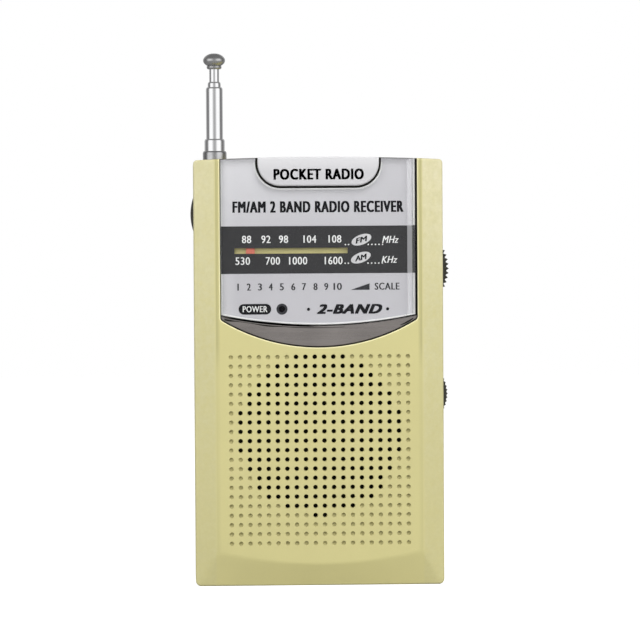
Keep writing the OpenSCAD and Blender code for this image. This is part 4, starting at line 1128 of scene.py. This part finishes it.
TOPS = (121.6, 125.0, 139.5, 141.0, 144.5)
LENGTH = 71.5
tube("aerial_tube_1", "case", "aerial_section_1", 3.35, 2.95, 50.0, TOPS[0], "foot_chrome")
for k, (ro, ri) in enumerate(((2.85, 2.45), (2.35, 1.925), (1.825, 1.475)), 2):
    top = TOPS[k - 1]
    tube(f"aerial_tube_{k}", f"aerial_{k}", f"aerial_section_{k}", ro, ri, top - LENGTH, top)
top = TOPS[4]
low = top - LENGTH
rod = [(0, low), (1.25, low), (1.375, low + 0.12), (1.375, top), (0, top)]
tip = mesh_object("aerial_tip_rod", lathe(rod, AERIAL, "z", 48), "chrome")
place(tip, "aerial_tip", ["aerial_rod"], sharp=50)
CAP = ((0, 0), (1.5, 0), (1.85, 0.12), (2.05, 0.35), (2.1, 0.6), (2.05, 0.85), (1.95, 0.98), (2.1, 1.1),
       (2.45, 1.35), (2.85, 1.75), (3.05, 2.15), (3.1, 2.5), (3.05, 2.85), (2.88, 3.2), (2.55, 3.6),
       (2.05, 3.98), (1.5, 4.26), (0.8, 4.44), (0, 4.5))
cap = mesh_object("aerial_cap_dome", lathe([(r, top + h) for r, h in CAP], AERIAL, "z", 64), "satin_chrome")
place(cap, "aerial_tip", ["aerial_cap"], sharp=60)


# ---------- stage, in metres ----------
FLOOR_Z = -0.00005


def stage_floor():
    """Round pale floor that fades out towards its rim and is brighter to the camera."""
    n, radii = 64, (0.2, 0.5, 0.9, 1.6)
    verts = [(0, 0, FLOOR_Z)]
    for r in radii:
        verts += [(x, y, FLOOR_Z) for x, y in arc(0, 0, r, 0, 360, n)[:-1]]
    faces = [(0, 1 + k, 1 + (k + 1) % n) for k in range(n)]
    for a in range(1, 1 + (len(radii) - 1) * n, n):
        faces += [(a + k, a + n + k, a + n + (k + 1) % n, a + (k + 1) % n) for k in range(n)]
    me = bpy.data.meshes.new("floor")
    me.from_pydata(verts, [], faces)
    m = bpy.data.materials.new("floor")
    nt = cleared(m)
    diffuse = add(nt, "ShaderNodeBsdfDiffuse", {"Color": (0.40, 0.40, 0.40, 1)}).outputs[0]
    glow = add(nt, "ShaderNodeEmission", {"Color": (1, 1, 1, 1), "Strength": 0.95}).outputs[0]
    lit = add(nt, "ShaderNodeAddShader", {0: diffuse, 1: glow}).outputs[0]
    camera_ray = add(nt, "ShaderNodeLightPath").outputs["Is Camera Ray"]
    seen = add(nt, "ShaderNodeMixShader", {0: camera_ray, 1: diffuse, 2: lit}).outputs[0]
    where = add(nt, "ShaderNodeTexCoord").outputs["Object"]
    reach = add(nt, "ShaderNodeVectorMath", {0: where}, operation="LENGTH").outputs["Value"]
    clear = add(nt, "ShaderNodeBsdfTransparent").outputs[0]
    fade = add(nt, "ShaderNodeMixShader", {0: ranged(nt, reach, 0, 1, 0.3, 1.4), 1: seen, 2: clear})
    add(nt, "ShaderNodeOutputMaterial", {0: fade.outputs[0]})
    me.materials.append(m)
    ob = linked("floor", me)


def background(nt, colour, strength):
    inputs = {"Color": opaque(colour), "Strength": strength}
    return add(nt, "ShaderNodeBackground", inputs).outputs[0]


# brightness around the horizon in reflections, from the front (0) to the back (1)
REFLECTED = ((0.0, 0.38), (0.06, 0.42), (0.18, 1.0), (0.36, 1.0), (0.49, 0.17), (0.62, 0.17), (0.80, 0.45),
             (1.0, 0.55))


def studio_world():
    """Even pale light, with the brighter and darker bands in reflections that a pair of soft boxes gives."""
    w = bpy.data.worlds.new("studio")
    bpy.context.scene.world = w
    nt = cleared(w)
    where = add(nt, "ShaderNodeTexCoord").outputs["Generated"]
    split = add(nt, "ShaderNodeSeparateXYZ", {0: where})
    side = maths(nt, "ABSOLUTE", split.outputs["X"])
    turn = maths(nt, "ARCTAN2", side, maths(nt, "MULTIPLY", split.outputs["Y"], -1))
    ramp = add(nt, "ShaderNodeValToRGB", {0: ranged(nt, turn, 0, 1, 0, math.pi)})
    stops = ramp.color_ramp.elements
    while len(stops) < len(REFLECTED):
        stops.new(0.5)
    for stop, (position, v) in zip(stops, REFLECTED):
        stop.position = position
        stop.color = (v, v, v, 1)
    height = ranged(nt, split.outputs["Z"], 0, 1, 0.45, 0.7)
    mirrored = background(nt, mixed(nt, height, ramp.outputs[0], (0.22, 0.22, 0.22)), 1.3)
    path = add(nt, "ShaderNodeLightPath").outputs
    light = background(nt, (0.82, 0.82, 0.82), 0.57)
    gloss = add(nt, "ShaderNodeMixShader", {0: path["Is Glossy Ray"], 1: light, 2: mirrored}).outputs[0]
    white = background(nt, (1, 1, 1), 1.0)
    pick = add(nt, "ShaderNodeMixShader", {0: path["Is Camera Ray"], 1: gloss, 2: white})
    add(nt, "ShaderNodeOutputWorld", {0: pick.outputs[0]})


def area_light(name, at, target, size, watts):
    data = bpy.data.lights.new(name, "AREA")
    data.shape = "RECTANGLE"
    data.size, data.size_y = size
    data.energy = watts
    ob = linked(name, data)
    ob.location = at
    ob.rotation_euler = (Vector(target) - Vector(at)).to_track_quat("-Z", "Y").to_euler()
    ob.visible_glossy = False


stage_floor()
studio_world()
area_light("key", (0.30, -0.80, 0.95), (0, 0, 0.06), (0.6, 0.5), 6.2)
area_light("fill", (-0.60, -0.85, 0.35), (0, 0, 0.06), (0.5, 0.7), 1.0)
area_light("side_right", (0.40, -0.42, 0.25), (0.02, 0, 0.09), (0.3, 0.3), 0.85)
area_light("side_left", (-0.40, -0.42, 0.25), (-0.02, 0, 0.09), (0.3, 0.3), 0.85)
bpy.context.scene.view_settings.view_transform = "Standard"
